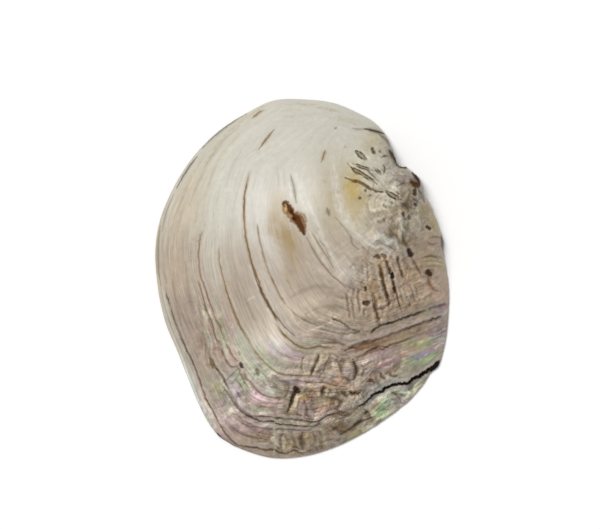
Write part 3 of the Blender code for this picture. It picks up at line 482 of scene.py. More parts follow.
    (((427.4, 277), (429, 284), (434, 290), (440, 291)), (190, 122, 92), 1, 0.7),
    (((421, 258), (429, 256), (438, 259)), (160, 122, 84), 1, 0.6),
    (((422, 263), (431, 262.4), (440, 264)), (214, 204, 160), 1.2, 0.65),
    (((426, 242), (431, 244.6), (437, 243)), (166, 112, 88), 0.9, 0.7),
    (((427, 247.4), (433, 249), (440, 248)), (222, 196, 172), 1.2, 0.65),
    # chalk, rings, dark rim and painted shade of the beak
    (((403, 187.6), (409, 188), (415, 190), (416.6, 195), (413, 198)), (206, 192, 152), 1.1, 0.85),
    (((411, 171), (414.4, 175), (417, 180), (420, 184)), (64, 48, 32), 1.3, 0.8),
    (((410, 197), (413, 200), (416, 203), (412, 205.4)), (72, 60, 46), 1.2, 0.75),
    (((402, 212.4), (401.4, 216), (404, 219.4), (409, 220)), (74, 66, 52), 1.2, 0.75),
    (((399, 203), (404, 206), (407, 211)), (112, 98, 78), 2.2, 0.65),
    (((407, 222), (404, 232), (401, 244)), (126, 114, 92), 2.6, 0.55),
    (((398, 213), (391, 218), (384, 224)), (150, 142, 126), 0.8, 0.5),
    (((391, 166), (386, 170), (380, 171)), (120, 112, 92), 0.8, 0.5),
    (((396, 187), (402, 184), (408, 185)), (92, 74, 50), 0.9, 0.65),
    (((440.6, 236), (442, 243), (443, 250)), (82, 82, 64), 1.6, 0.75),
    # painted shade where the beak's flank falls away
    (((418, 190), (421, 195), (424, 202)), (110, 102, 78), 2, 0.65),
    (((429, 216), (433, 222), (437, 229)), (204, 178, 98), 2.2, 0.75),
)]

# A soft patch of colour: its middle, half sizes, turn from +X in degrees, colour, strength,
# and how much the growth bands break it up
Patch = namedtuple("Patch", "middle size turn colour strength banded")

PATCHES = [Patch(*row) for row in (
    # the front end and the free edge
    ((310, 128), (80, 36), 0, (208, 204, 191), 0.8, 0.1),
    ((192, 208), (20, 62), -18, (199, 187, 165), 0.7, 0.5),
    ((178, 278), (16, 44), 4, (192, 174, 152), 0.8, 0.4),
    ((190, 335), (15, 46), 20, (166, 149, 135), 0.8, 0.5),
    # bands inside them, and the middle
    ((222, 215), (15, 62), -8, (214, 212, 198), 0.8, 0.3),
    ((266, 222), (15, 60), 6, PEARL, 0.75, 0.3),
    ((272, 300), (9, 40), 30, (212, 204, 190), 0.55, 0.4),
    ((303, 275), (34, 28), 0, (184, 167, 148), 0.8, 0.2),
    ((286, 235), (11, 31), 12, (164, 138, 92), 0.9, 0.4),
    ((281, 208), (8, 15), 10, (186, 168, 134), 0.55, 0.2),
    # the crown
    ((332, 205), (17, 36), 15, (176, 160, 128), 0.85, 0.2),
    ((349, 272), (15, 14), -30, (218, 212, 202), 0.85, 0.2),
    ((384, 244), (17, 11), 0, (210, 206, 196), 0.85, 0),
    # the beak and the hinge side
    ((355, 194), (13, 24), 16, (186, 156, 68), 1, 0.1),
    ((384, 176), (24, 26), 0, (231, 228, 208), 0.9, 0.1),
    ((407, 206), (9, 20), 10, (108, 94, 72), 0.9, 0),
    ((410, 182.5), (12, 7), -22, (88, 58, 26), 1, 0),
    ((393, 156), (5, 10), 32, (100, 74, 38), 1, 0),
    ((376, 143), (15, 14), -40, (194, 182, 140), 0.7, 0.2),
    ((432, 224), (8, 14), 10, (160, 136, 66), 0.9, 0.1),
    ((430, 245), (10, 7), 0, (200, 160, 138), 0.7, 0.2),
    ((433, 264), (12, 8), 0, (208, 190, 138), 0.85, 0.4),
    ((404, 232), (14, 12), -30, (128, 120, 104), 0.7, 0.1),
    ((382, 221), (26, 14), 0, (204, 194, 168), 0.8, 0.2),
    ((424, 212), (8, 16), 20, (166, 148, 102), 0.85, 0.1),
    ((424, 250), (18, 14), 0, (178, 154, 124), 0.8, 0.2),
    # the ribs and the wing
    ((386, 287), (34, 28), 0, (158, 120, 66), 0.85, 0.1),
    ((366, 272), (8, 13), 0, (212, 202, 186), 0.6, 0),
    ((430, 290), (22, 24), 0, (194, 168, 140), 0.85, 0.3),
    ((372, 344), (22, 5), 14, (150, 104, 72), 0.75, 0.5),
    ((404, 336), (24, 6), 18, (156, 134, 98), 0.65, 0.6),
    ((390, 356), (20, 7), 16, (192, 158, 156), 0.85, 0.8),
    ((407, 350), (10, 4), 20, (216, 176, 124), 0.9, 0.9),
    ((420, 343), (13, 6), 20, (194, 198, 134), 0.8, 1),
    ((416, 358), (16, 5), 20, (152, 150, 178), 0.85, 0.9),
    ((427, 359), (14, 3), 26, (178, 190, 142), 0.8, 1),
    ((404, 363), (12, 3), 24, (196, 184, 116), 0.75, 0.9),
    ((438, 334), (8, 9), 0, (166, 156, 168), 0.7, 0.6),
    ((440, 312), (9, 9), 0, (162, 150, 142), 0.6, 0.5),
    # the rear, inside the last ledges
    ((318, 312), (28, 14), 0, (204, 188, 164), 0.8, 0.2),
    ((270, 345), (22, 25), -35, (232, 221, 202), 0.92, 0.4),
    ((296, 360), (18, 11), 0, (196, 182, 168), 0.7, 0.3),
    ((312, 352), (22, 7), 0, (176, 160, 150), 0.6, 0.5),
    ((265, 371), (14, 7), 30, (214, 236, 202), 0.95, 0.2),
    ((236, 384), (9, 15), 34, (190, 202, 178), 0.8, 0.2),
    ((251, 354), (7, 21), 32, (194, 206, 182), 0.75, 0.2),
    # a painted highlight
    ((274, 345), (9, 8), -40, (230, 222, 214), 0.75, 0.5),
    ((242, 345), (6, 12), 20, (186, 188, 160), 0.5, 0.4),
    ((262, 390), (24, 12), 15, (230, 211, 208), 0.92, 0.4),
    ((232, 400), (10, 18), 30, (176, 162, 152), 0.6, 0.5),
    ((246, 430), (26, 12), 20, (196, 174, 162), 0.9, 0.4),
    # the hem
    ((302, 441), (36, 11), 0, (124, 106, 76), 0.8, 0.2),
    ((289, 439), (4, 9), -12, (196, 182, 146), 0.8, 0),
    ((298, 436), (3, 6), 10, (170, 154, 120), 0.7, 0),
    ((312, 440), (5, 8), 8, (176, 160, 128), 0.8, 0.2),
    ((300, 426), (22, 5), 0, (142, 122, 124), 0.55, 0.5),
    # the worn rear and the strip below the crack
    ((332, 396), (30, 22), 20, (190, 160, 124), 0.85, 0.2),
    ((320, 406), (9, 6), 0, (176, 146, 108), 0.5, 0.4),
    ((378, 385), (18, 7), 22, (156, 150, 138), 0.65, 0.3),
    ((388, 406), (27, 12), 38, (242, 252, 220), 1, 0.1),
    ((342, 430), (22, 11), 26, (124, 106, 78), 0.85, 0.2),
    ((416, 388), (14, 10), 46, (202, 196, 164), 0.9, 0.1),
    # facets, brown, orange and pale spots, and painted shadow beside the hole
    ((307, 362), (5, 9), -10, (202, 184, 158), 0.8, 0),
    ((323, 361), (6, 9), 0, (200, 182, 154), 0.8, 0),
    ((337, 364), (5, 9), 0, (186, 166, 140), 0.6, 0),
    ((349, 368), (4, 5), 0, (176, 164, 166), 0.8, 0),
    ((323, 390), (3, 5), 0, (98, 76, 54), 0.7, 0),
    ((352, 393), (7, 3), 0, (124, 82, 44), 0.8, 0),
    ((355, 425), (9, 3), 32, (96, 78, 54), 0.7, 0.2),
    # brown with painted shadow beside the largest hole
    ((293, 390), (8, 11), -16, (112, 82, 58), 0.85, 0.1),
    ((287, 402), (4, 9), -15, (140, 118, 90), 0.5, 0.2),
    ((328, 405), (9, 3), 15, (190, 154, 116), 0.45, 0.4),
    ((377, 404), (5, 4), 40, (196, 164, 138), 0.7, 0.3),
    ((338, 380), (3, 8), 0, (190, 154, 132), 0.35, 0.3),
    ((305, 410), (9, 9), 0, (192, 178, 156), 0.7, 0.2),
    ((302, 395.5), (5, 3), -30, (206, 182, 96), 0.95, 0),
    # bright parts of the strip, the crack's pale lip with a painted highlight, and the grey outer edge
    ((384, 409), (6, 9), -30, (190, 246, 172), 0.9, 0.1),
    ((399, 397), (14, 6), 38, (236, 250, 228), 0.9, 0.2),
    ((354, 434), (14, 4), 28, (182, 182, 116), 0.8, 0.2),
    # painted highlight along the crack's upper lip
    ((378, 384), (12, 3), 28, (186, 190, 186), 0.7, 0.3),
    ((194, 394), (8, 52), 23, (236, 238, 224), 1, 0),
    ((168, 316), (6, 40), 15, (212, 206, 188), 0.8, 0.2),
    ((226, 440), (20, 5), -32, (150, 142, 128), 0.6, 0.4),
)]


def spot(place):
    """A pixel of the photograph as a point of the rim's plane, in metres."""
    return np.array([place[0] - PHOTO_MIDDLE[0], PHOTO_MIDDLE[1] - place[1]]) * PX


def traced(places):
    return np.array([spot(p) for p in places])


def smooth_line(points, closed=False, steps=6):
    """A Catmull-Rom curve through the points, as a finer line of points."""
    points = np.asarray(points, float)
    count = len(points)
    share = (np.arange(steps) / steps)[:, None]
    found = []
    for i in range(count if closed else count - 1):
        if closed:
            a, b, c, d = (points[(i + k) % count] for k in (-1, 0, 1, 2))
        else:
            b, c = points[i], points[i + 1]
            a = points[i - 1] if i else 2 * b - c
            d = points[i + 2] if i + 2 < count else 2 * c - b
        found.append(0.5 * (2 * b + (c - a) * share + (2 * a - 5 * b + 4 * c - d) * share**2
                            + (3 * b - a - 3 * c + d) * share**3))
    if not closed:
        found.append(points[-1:])
    return np.concatenate(found)


def ease(value):
    """0 below 0, 1 above 1, and a smooth step between."""
    value = np.clip(value, 0.0, 1.0)
    return value * value * (3 - 2 * value)


def hump(value, power=2):
    """1 where the value is 0, falling off to 0 on both sides."""
    return np.exp(-(value**power))


def value_noise(u, v, seed):
    """Smooth noise in -1 to 1 over a plane, one lattice value per unit."""
    table = np.random.default_rng(seed).random((NOISE_SIZE, NOISE_SIZE)) * 2 - 1
    iu, iv = np.floor(u).astype(int), np.floor(v).astype(int)
    fu, fv = ease(u - iu), ease(v - iv)
    a, b, c, d = (table[(iu + k) % NOISE_SIZE, (iv + m) % NOISE_SIZE] for m in (0, 1) for k in (0, 1))
    return (a * (1 - fu) + b * fu) * (1 - fv) + (c * (1 - fu) + d * fu) * fv


def layered_noise(u, v, seed, layers=3):
    """Value noise with finer and weaker layers added, in -1 to 1."""
    total = sum(value_noise(u * 2**k, v * 2**k, seed + k) / 2**k for k in range(layers))
    return total / (2 - 0.5 ** (layers - 1))


def plan_noise(points, size, seed, layers=3):
    """Layered noise over the plan, with waves of this many pixels."""
    return layered_noise(*(points.T / (size * PX)), seed, layers)


def linear(colour):
    """A colour of 0 to 255 as the renderer's linear values, by the standard sRGB curve."""
    c = np.asarray(colour, float) / 255
    return np.where(c <= 0.04045, c / 12.92, ((c + 0.055) / 1.055) ** 2.4)


CROWN = spot(CROWN_PX)
RIM_LINE = smooth_line(traced(RIM_TRACE), closed=True, steps=18)

# Where the rim is chipped: middle, half sizes and depth of a chip, all in pixels
CHIPPED_PLACES = (
    ((405, 165), (24, 26), 1.3),
    ((432, 212), (14, 40), 1.1),
    ((444, 270), (12, 40), 0.5),
    ((400, 405), (50, 34), 0.6),
    ((225, 438), (20, 12), 0.5),
)
CHIP_LENGTH = 3.2 * PX


def rim_chips(line):
    """How far small breaks move the rim in or out at each of its points."""
    run = np.cumsum(np.hypot(*np.diff(line, axis=0, prepend=line[:1]).T))
    breaks = layered_noise(run / CHIP_LENGTH, run * 0, 5, 2)
    depth = np.zeros(len(line))
    for middle, size, amount in CHIPPED_PLACES:
        off = (line - spot(middle)) / (np.array(size) * PX)
        depth = np.maximum(depth, amount * PX * np.exp(-((off**2).sum(axis=1))))
    return breaks * depth


def polar(points, centre=CROWN):
    """The distance and direction of each point from a centre."""
    off = points - centre
    return np.hypot(off[:, 0], off[:, 1]), np.arctan2(off[:, 1], off[:, 0])


RIM_RADII, RIM_ANGLES = polar(RIM_LINE)
RIM_RADII = RIM_RADII + rim_chips(RIM_LINE)


def rim_radius(angle):
    """How far the rim is from the crown in this direction."""
    return np.interp(angle, RIM_ANGLES, RIM_RADII, period=2 * math.pi)


def soft_radius(angle):
    """The rim's distance averaged over nearby directions, without the rim's notches."""
    turns = np.radians(np.linspace(-2, 2, FLANK_SAMPLES) * FLANK_SOFTNESS)
    weights = hump(turns / math.radians(FLANK_SOFTNESS))
    total = sum(w * rim_radius(angle + t) for w, t in zip(weights, turns))
    return total / weights.sum()


def rim_inset(angle):
    """How far in from the outline the inner bowl begins: wide along the hinge."""
    turn = (np.degrees(angle) - HINGE_ANGLE + 180) % 360 - 180
    hinge = hump(turn / HINGE_SPREAD)
    return RIM_WIDTH + (HINGE_WIDTH - RIM_WIDTH) * hinge


def bowl_radius(angle):
    return rim_radius(angle) - rim_inset(angle)


def section(angle, column):
    """One value of DOME_SECTIONS at this angle, eased from row to row."""
    turn = np.degrees(angle) % 360
    rows = DOME_SECTIONS + ((DOME_SECTIONS[0][0] + 360,) + DOME_SECTIONS[0][1:],)
    value = np.zeros_like(turn)
    for low, high in zip(rows[:-1], rows[1:]):
        inside = (turn >= low[0]) & (turn <= high[0])
        share = ease((turn - low[0]) / (high[0] - low[0]))
        value = np.where(inside, low[column] + (high[column] - low[column]) * share, value)
    return value


def from_polar(radius, angle):
    return CROWN + np.stack([radius * np.cos(angle), radius * np.sin(angle)], axis=1)


def crowding(angle):
    """How strongly points are drawn to the rim, where the wall stands steep."""
    return np.clip(1 / section(angle, STEEPNESS), 1.0, STEEPEST)


def spread_out(points, reach):
    """Plan points to the flat sheet on which the facets are laid out."""
    radius, angle = polar(points)
    edge = reach(angle)
    share = np.clip(radius / edge, 0, 1)
    return from_polar(edge * (1 - (1 - share) ** (1 / crowding(angle))), angle)


def drawn_in(points, reach):
    """The flat sheet's points back to plan: the inverse of spread_out."""
    radius, angle = polar(points)
    edge = reach(angle)
    share = np.clip(radius / edge, 0, 1)
    return from_polar(edge * (1 - (1 - share) ** crowding(angle)), angle)


def along_line(points, line):
    """Signed distance from a line, positive to the right of its run, and the share along it."""
    starts, runs = line[:-1], np.diff(line, axis=0)
    lengths = np.hypot(runs[:, 0], runs[:, 1])
    best = np.full(len(points), np.inf)
    signed = np.zeros(len(points))
    share = np.zeros(len(points))
    before = 0.0
    for start, run, length in zip(starts, runs, lengths):
        off = points - start
        t = np.clip((off @ run) / length**2, 0, 1)
        gap = off - t[:, None] * run
        distance = np.hypot(gap[:, 0], gap[:, 1])
        nearer = distance < best
        side = np.where(run[0] * off[:, 1] - run[1] * off[:, 0] > 0, -1.0, 1.0)
        signed = np.where(nearer, distance * side, signed)
        share = np.where(nearer, before + t * length, share)
        best = np.minimum(best, distance)
        before += length
    return signed, share / before


def near(points, line, margin):
    """Which points lie in the line's box, widened by a margin."""
    low, high = line.min(axis=0) - margin, line.max(axis=0) + margin
    return np.flatnonzero(((points > low) & (points < high)).all(axis=1))


def tapered(share, fade=0.12):
    """1 along a line and 0 at its two ends."""
    return ease(share / fade) * ease((1 - share) / fade)


JAG_SPACING = 1.1 * PX
JAG_SHARE = 0.55


def jagged(line, amount, seed):
    """The line with small irregular steps to either side, of about this many pixels."""
    if not amount:
        return line
    fine, right = stations(line, JAG_SPACING)
    shift = np.random.default_rng(seed).normal(0, JAG_SHARE * amount * PX, len(fine))
    shift[[0, -1]] = 0
    return fine + right * shift[:, None]


def stations(line, spacing):
    """Points evenly spaced along a line, with the right-hand direction at each."""
    lengths = np.hypot(*np.diff(line, axis=0).T)
    along = np.concatenate([[0], np.cumsum(lengths)])
    wanted = np.linspace(0, along[-1], max(2, round(along[-1] / spacing) + 1))
    found = np.stack([np.interp(wanted, along, line[:, k]) for k in (0, 1)], axis=1)
    run = np.gradient(found, axis=0)
    run /= np.hypot(run[:, 0], run[:, 1])[:, None]
    return found, np.stack([run[:, 1], -run[:, 0]], axis=1)


def dome(points, reach, floor, crown_height):
    """The smooth domed height of each plan point inside the outline that reach gives."""
    radius, angle = polar(points)
    edge = reach(angle)
    soft = soft_radius(angle) + edge - rim_radius(angle)
    near_rim = np.clip(radius / edge, 0, 1) ** NOTCH_FADE
    share = np.clip(radius / (soft + (edge - soft) * near_rim), 0, 1)
    fall = (1 - share ** section(angle, BELLY)) ** section(angle, STEEPNESS)
    out, along = along_line(points, smooth_line(traced(KEEL_TRACE)))
    keel = KEEL_RISE * hump(out / KEEL_WIDTH) * tapered(along, 0.35)
    return floor + (crown_height - floor) * fall + keel * ease((1 - share) / 0.25)


# The growth field: 0 at the beak and 1 along the rim, or along the line on which the rim
# would have gone on past the hinge side
BEAK = spot((425, 192))
GROWN_RIM = RIM_TRACE[12:41]
GROWN_PAST_HINGE = (
    (403, 411), (425, 401), (447, 388), (470, 365), (490, 330), (500, 290), (500, 240),
    (490, 200), (470, 165), (445, 150), (425, 150),
)
GROWTH_BEND = ((60, 1.4), (150, 1.4), (180, 1.19), (225, 1.0), (330, 1.0), (400, 1.4))


def growth_outline():
    """The outline that the growth lines follow, seen from the beak: angles and distances."""
    line = smooth_line(traced(GROWN_RIM + GROWN_PAST_HINGE), closed=True)
    radii, angles = polar(line, BEAK)
    order = np.argsort(angles)
    return angles[order], radii[order]


GROWTH_ANGLES, GROWTH_RADII = growth_outline()


def grown_plainly(points):
    """How far each point had grown, by its distance from the beak alone."""
    radius, angle = polar(points, BEAK)
    edge = np.interp(angle, GROWTH_ANGLES, GROWTH_RADII, period=2 * math.pi)
    turn = np.degrees(angle) % 360
    turn = np.where(turn < GROWTH_BEND[0][0], turn + 360, turn)
    bend = np.interp(turn, *zip(*GROWTH_BEND))
    return (radius / edge) ** bend, angle


GROWTH_GUIDES = ("main", "rear_main", "inside_main", "second", "third", "fourth", "last", "inner_step")
GUIDE_SPACING = 7 * PX
GUIDE_REACH = 9 * PX
GUIDE_CORE = 0.05
NO_GUIDE_WEIGHT = 0.004


def growth_guides():
    """Places along the traced ledges, and what must be added there to keep each ledge level."""
    places, shifts = [], []
    lines = [traced(LEDGES[name].trace) for name in GROWTH_GUIDES] + [traced(WING_CRACK)]
    for line in lines:
        found, _ = stations(smooth_line(line), GUIDE_SPACING)
        grown, _ = grown_plainly(found)
        places.append(found)
        shifts.append(grown.mean() - grown)
    rim = stations(smooth_line(traced(GROWN_RIM)), GUIDE_SPACING)[0]
    places.append(rim)
    shifts.append(1 - grown_plainly(rim)[0])
    return np.concatenate(places), np.concatenate(shifts)


def growth(points):
    """How far each point had grown, 0 to 1, and its direction from the beak in radians."""
    grown, angle = grown_plainly(points)
    places, shifts = growth_guides()
    total, weights = np.zeros(len(points)), np.full(len(points), NO_GUIDE_WEIGHT)
    for place, shift in zip(places, shifts):
        gap = ((points - place) ** 2).sum(axis=1) / GUIDE_REACH**2
        weight = 1 / (GUIDE_CORE + gap) ** 2
        total += weight * shift
        weights += weight
    return grown + total / weights, angle


LEDGE_STEP = 0.7 * MM
LEDGE_EDGE = 0.35 * MM
LEDGE_LIP = 0.28
LEDGE_LIP_WIDTH = 1.8 * MM


def ledge_relief(out, share, piece):
    """The layer above ends here: a sharp step down, then a slow rise back."""
    step = ease(out / LEDGE_STEP + 0.5) * np.exp(-np.maximum(out, 0) / (piece.reach * MM))
    lip = LEDGE_LIP * hump(np.minimum(out, 0) / LEDGE_LIP_WIDTH) * (out < LEDGE_EDGE)
    return piece.drop * MM * (lip - step) * tapered(share)


def crack_gap(share):
    """The crack's open width along it."""
    return np.interp(share, CRACK_SHARES, CRACK_GAPS) * PX


def crack_relief(out, share):
    """The upper lip stands over a gap, and the lower lip lies below it."""
    gap = crack_gap(share)
    low = np.exp(-np.maximum(out - gap, 0) / CRACK_REACH) * CRACK_DROP
    gulley = ease(1.6 - np.abs(2 * out / gap - 1)) * CRACK_GULLEY
    lip = CRACK_LIP_HEIGHT * hump(np.minimum(out, 0) / CRACK_LIP_WIDTH) * (out < 0)
    return (lip - (low + gulley) * ease(out / CRACK_EDGE + 0.3)) * tapered(share, 0.06)


def fold_relief(out, share, piece):
    """A rounded furrow with a low bank on each side."""
    wide = piece.half_width * PX
    furrow = hump(out / wide)
    banks = hump((np.abs(out) - 2.0 * wide) / wide)
    return piece.depth * MM * (0.35 * banks - furrow) * tapered(share, 0.2)


def groove_width(share, piece):
    """A groove's half width along it: uneven, and drawn to a point where it is long."""
    long = len(piece.trace) > 2
    ends = 0.45 + 0.55 * tapered(share, 0.35) if long else np.ones(len(share))
    uneven = value_noise(share * 2.5 * len(piece.trace), share * 0 + piece.trace[0][0], 51)
    return piece.half_width * PX * ends * (1.05 + 0.25 * uneven)


def groove_relief(out, share, piece):
    """A narrow groove or pit with a faint raised lip."""
    wide = groove_width(share, piece)
    cut = hump(out / wide, 4)
    lip = hump((np.abs(out) - 1.7 * wide) / (0.6 * wide))
    return piece.depth * MM * (0.5 * piece.lip * lip - cut)


def lines_of(pieces, seed, jag=0.0):
    """Each traced piece with its smooth line, jagged where that is asked for."""
    found = []
    for k, piece in enumerate(pieces):
        line = smooth_line(traced(piece.trace))
        found.append((piece, jagged(line, getattr(piece, "jag", jag), seed + k)))
    return found


FOLD_JAG = 0.7
LEDGE_LINES = lines_of(LEDGES.values(), 100)
FOLD_LINES = lines_of(FOLDS, 200, FOLD_JAG)
GROOVE_LINES = lines_of(GROOVES, 300)
STROKE_LINES = lines_of(STROKES, 400)
CRACK_LINE = jagged(traced(WING_CRACK), CRACK_JAG, CRACK_SEED)

# Where the face is worn and wrinkled: middle, half sizes, turn, strength
ROUGH_PLACES = (
    ((335, 392), (60, 32), 20, 1.0),
    ((300, 438), (52, 15), 0, 0.85),
    ((393, 286), (37, 37), 0, 0.70),
    ((398, 205), (26, 50), 0, 0.8),
    ((392, 405), (40, 13), 36, 0.85),
    ((410, 345), (50, 22), 18, 0.30),
    ((250, 398), (44, 30), 25, 0.6),
    ((215, 350), (18, 50), 20, 0.35),
    ((342, 330), (40, 18), 0, 0.5),
)

# Where the wrinkles run across the growth lines
CROSS_PLACES = (
    ((386, 285), (40, 34), 0, 1.0),
    ((300, 438), (48, 13), 0, 0.5),
    ((335, 368), (36, 16), 10, 0.8),
    ((325, 400), (28, 14), 10, 0.8),
)

# How flat the tops of the soft ovals are, and how far apart a shift's two seeds are
BELL_WIDTH = 0.9
FLAT_TOP = 1.5
SHIFT_SEEDS = 7


def bell(points, middle, size, turn=0.0):
    """A soft oval weight, 1 in the middle; sizes are half widths in pixels."""
    off = points - spot(middle)
    c, s = math.cos(math.radians(turn)), math.sin(math.radians(turn))
    u = (off[:, 0] * c + off[:, 1] * s) / (size[0] * PX)
    v = (off[:, 1] * c - off[:, 0] * s) / (size[1] * PX)
    return np.exp(-(u * u + v * v) * BELL_WIDTH)


def gathered(points, places):
    """The strongest of several soft ovals, with flat tops."""
    total = np.zeros(len(points))
    for middle, size, turn, strength in places:
        total = np.maximum(total, strength * np.clip(FLAT_TOP * bell(points, middle, size, turn), 0, 1))
    return total


def shifted(points, size, amount, seed):
    """The points moved about by smooth noise, for ragged outlines; in pixels."""
    moved = np.stack([plan_noise(points, size, seed + k) for k in (0, SHIFT_SEEDS)], axis=1)
    return points + amount * PX * moved


# The broken cells that cover the worn places: their turn and flatness, and the two sizes
CELL_TURN = 18
CELL_FLATNESS = 0.68
FACET_SIZE = 15.0
CHIP_SIZE = 5.5


def cells(points, size, seed):
    """Broken cells that cover the face: two random values of the cell each point is in, the
    way from the cell's middle, and how far off the cell's edge is."""
    table = np.random.default_rng(seed).random((CELL_TABLE_SIZE, CELL_TABLE_SIZE, 4))
    turn = math.radians(CELL_TURN)
    u = (points[:, 0] * math.cos(turn) + points[:, 1] * math.sin(turn)) / (size * PX)
    v = (points[:, 1] * math.cos(turn) - points[:, 0] * math.sin(turn)) / (CELL_FLATNESS * size * PX)
    iu, iv = np.floor(u).astype(int), np.floor(v).astype(int)
    first, second = np.full(len(u), 9.0), np.full(len(u), 9.0)
    found = np.zeros((len(u), 4))
    for a in (-1, 0, 1):
        for b in (-1, 0, 1):
            cell = table[(iu + a) % CELL_TABLE_SIZE, (iv + b) % CELL_TABLE_SIZE]
            du, dv = u - iu - a - cell[:, 0], v - iv - b - cell[:, 1]
            gap = np.hypot(du, dv)
            nearer = gap < first
            second = np.where(nearer, first, np.minimum(second, gap))
            here = np.stack([cell[:, 2], cell[:, 3], du, dv], axis=1)
            found = np.where(nearer[:, None], here, found)
            first = np.where(nearer, gap, first)
    return (*found.T, second - first)


Fields = namedtuple("Fields", "grown around rough cross grain lumps creases waves ribs striae low"
                    " off_beak facet chip")


# Noises that follow the growth: waves from the beak to the rim, waves round the beak, seed,
# layers
GRAIN_NOISE = (60, 11, 84, 3)
RIB_NOISE = (12, 48, 90, 2)
STRIA_NOISE = (110, 6, 93, 2)
HUE_NOISE = (40, 9, 22, 3)
COOL_NOISE = (30, 12, 26, 3)
GLINT_NOISE = (95, 30, 140, 2)

# Where the rear end's stronger lines set in, and how far round the beak the wear is another
LOW_FROM_ROW = 190
LOW_SPAN = 130 * PX
BEAK_REACH = 45 * PX


def grown_noise(grown, around, noise):
    """One of the noises that follow the growth."""
    outward, sideways, seed, layers = noise
    return layered_noise(grown * outward, around * sideways, seed, layers)


def below_row(points, row, span):
    """0 before this row of the photograph, and 1 from a span further to the rear."""
    return ease((spot((0, row))[1] - points[:, 1]) / span)


def face_fields(points):
    """The noises and zones that shape the outer face and colour it."""
    grown, around = growth(points)
    ragged = shifted(points, 18, 9, 81)
    rough, cross = gathered(ragged, ROUGH_PLACES), gathered(ragged, CROSS_PLACES)
    bent = grown + 0.012 * plan_noise(points, 14, 83, 2) * (0.3 + rough)
    grain = grown_noise(bent, around, GRAIN_NOISE)
    lumps = plan_noise(points, 5, 87)
    bent_around = around + 0.03 * plan_noise(points, 11, 98, 2)
    creases = np.abs(layered_noise(bent * 34 - 8 * cross * bent, bent_around * (11 + 14 * cross), 96, 2))
    waves = layered_noise(bent * 17, bent_around * (9 + 6 * cross), 120, 2)
    ribs = grown_noise(bent, around, RIB_NOISE)
    striae = grown_noise(bent, around, STRIA_NOISE)
    low = below_row(points, LOW_FROM_ROW, LOW_SPAN)
    off_beak = ease((polar(points, BEAK)[0] - BEAK_REACH) / BEAK_REACH)
    broken = shifted(shifted(points, 20, 7, 130), 5, 1.6, 133)
    return Fields(grown, around, rough, cross, grain, lumps, creases, waves, ribs, striae, low, off_beak,
                  cells(broken, FACET_SIZE, 136), cells(broken, CHIP_SIZE, 137))


GRAIN_HEIGHT = 0.20 * MM
LUMP_HEIGHT = 0.16 * MM
BULGE_HEIGHT = 0.50 * MM
WAVE_HEIGHT = 0.60 * MM
FACET_HEIGHT = 1.30 * MM
CHIP_HEIGHT = 0.42 * MM
RIB_HEIGHT = 0.26 * MM
STRIA_HEIGHT = 0.035 * MM


def placed(points):
    """Every traced piece with the points near it, their distances from it and shares along it."""
    ragged = shifted(points, 3.2, 0.55, 110)
    found = []
    for kind, lines in (("ledge", LEDGE_LINES), ("fold", FOLD_LINES), ("stroke", STROKE_LINES),
                        ("groove", GROOVE_LINES), ("crack", [(None, CRACK_LINE)])):
        for piece, line in lines:
            if kind == "ledge":
                margin = 3.5 * (piece.reach * MM)
            elif kind == "crack":
                margin = 3.0 * CRACK_REACH
            else:
                margin = 5 * piece.half_width * PX
            at = near(points, line, margin)
            found.append((kind, piece, at, *along_line(ragged[at], line)))
    return found


# Rounded swellings between the folds: middle, half sizes, turn, height
BULGES = (
    ((307, 362), (5, 9), -10, 0.6),
    ((323, 361), (5, 9), 0, 0.6),
    ((337, 364), (5, 8), 0, 0.45),
    ((349, 369), (4, 4), 0, 0.8),
    ((304, 404), (6, 12), -8, 0.5),
    ((316, 392), (6, 7), 0, 0.45),
    ((330, 392), (5, 8), 0, 0.5),
    ((342, 398), (7, 5), 20, 0.5),
    ((381, 402), (5, 8), -30, 0.6),
    ((398, 398), (9, 4), 36, 0.6),
    ((372, 379), (6, 4), 0, 0.4),
    ((388, 380), (7, 3), 20, 0.45),
    ((341, 424), (9, 7), 25, 0.5),
    ((382, 296), (4, 14), 0, 0.5),
    ((389, 290), (2.5, 14), 8, 0.5),
    ((357, 298), (3, 12), 0, 0.35),
    ((366, 300), (4, 14), 0, 0.45),
    ((398, 284), (4, 14), 6, 0.4),
    ((392, 243), (8, 5), 30, 0.6),
    ((378, 240), (7, 5), -30, 0.55),
    ((287, 440), (3, 11), 0, 0.3),
    ((296, 439), (4, 11), 0, 0.3),
    ((311, 439), (5, 10), 0, 0.35),
)

RELIEFS = {"ledge": ledge_relief, "fold": fold_relief, "groove": groove_relief}


def outer_height(points, fields, pieces):
    """The outer face: the dome with everything that grew, broke or bored into it."""
    f = fields
    relief = STRIA_HEIGHT * f.striae * (0.3 + 0.7 * f.low + f.rough)
    grain = GRAIN_HEIGHT * f.grain * (1 - 0.5 * f.cross) * f.off_beak
    relief += f.rough * (grain + LUMP_HEIGHT * f.lumps)
    relief += f.rough * (BULGE_HEIGHT * (f.creases - 0.3) + WAVE_HEIGHT * f.waves) * f.off_beak
    for facet, height in ((f.facet, FACET_HEIGHT), (f.chip, CHIP_HEIGHT)):
        first, second, du, dv, edge = facet
        tilted = (first - 0.5) * du + (second - 0.5) * dv + 0.35 * (first - 0.5)
        relief += f.rough * height * (tilted - 0.12 * hump(edge / 0.14))
    for middle, size, turn, height in BULGES:
        relief += height * MM * bell(points, middle, size, turn)
    relief += f.cross * RIB_HEIGHT * f.ribs
    for kind, piece, at, out, share in pieces:
        if kind in RELIEFS:
            relief[at] += RELIEFS[kind](out, share, piece)
        elif kind == "crack":
            relief[at] += crack_relief(out, share)
    radius, angle = polar(points)
    at_rim = ease((1 - radius / rim_radius(angle)) / 0.05)
    return dome(points, rim_radius, EDGE_HEIGHT, DOME_HEIGHT) + relief * at_rim


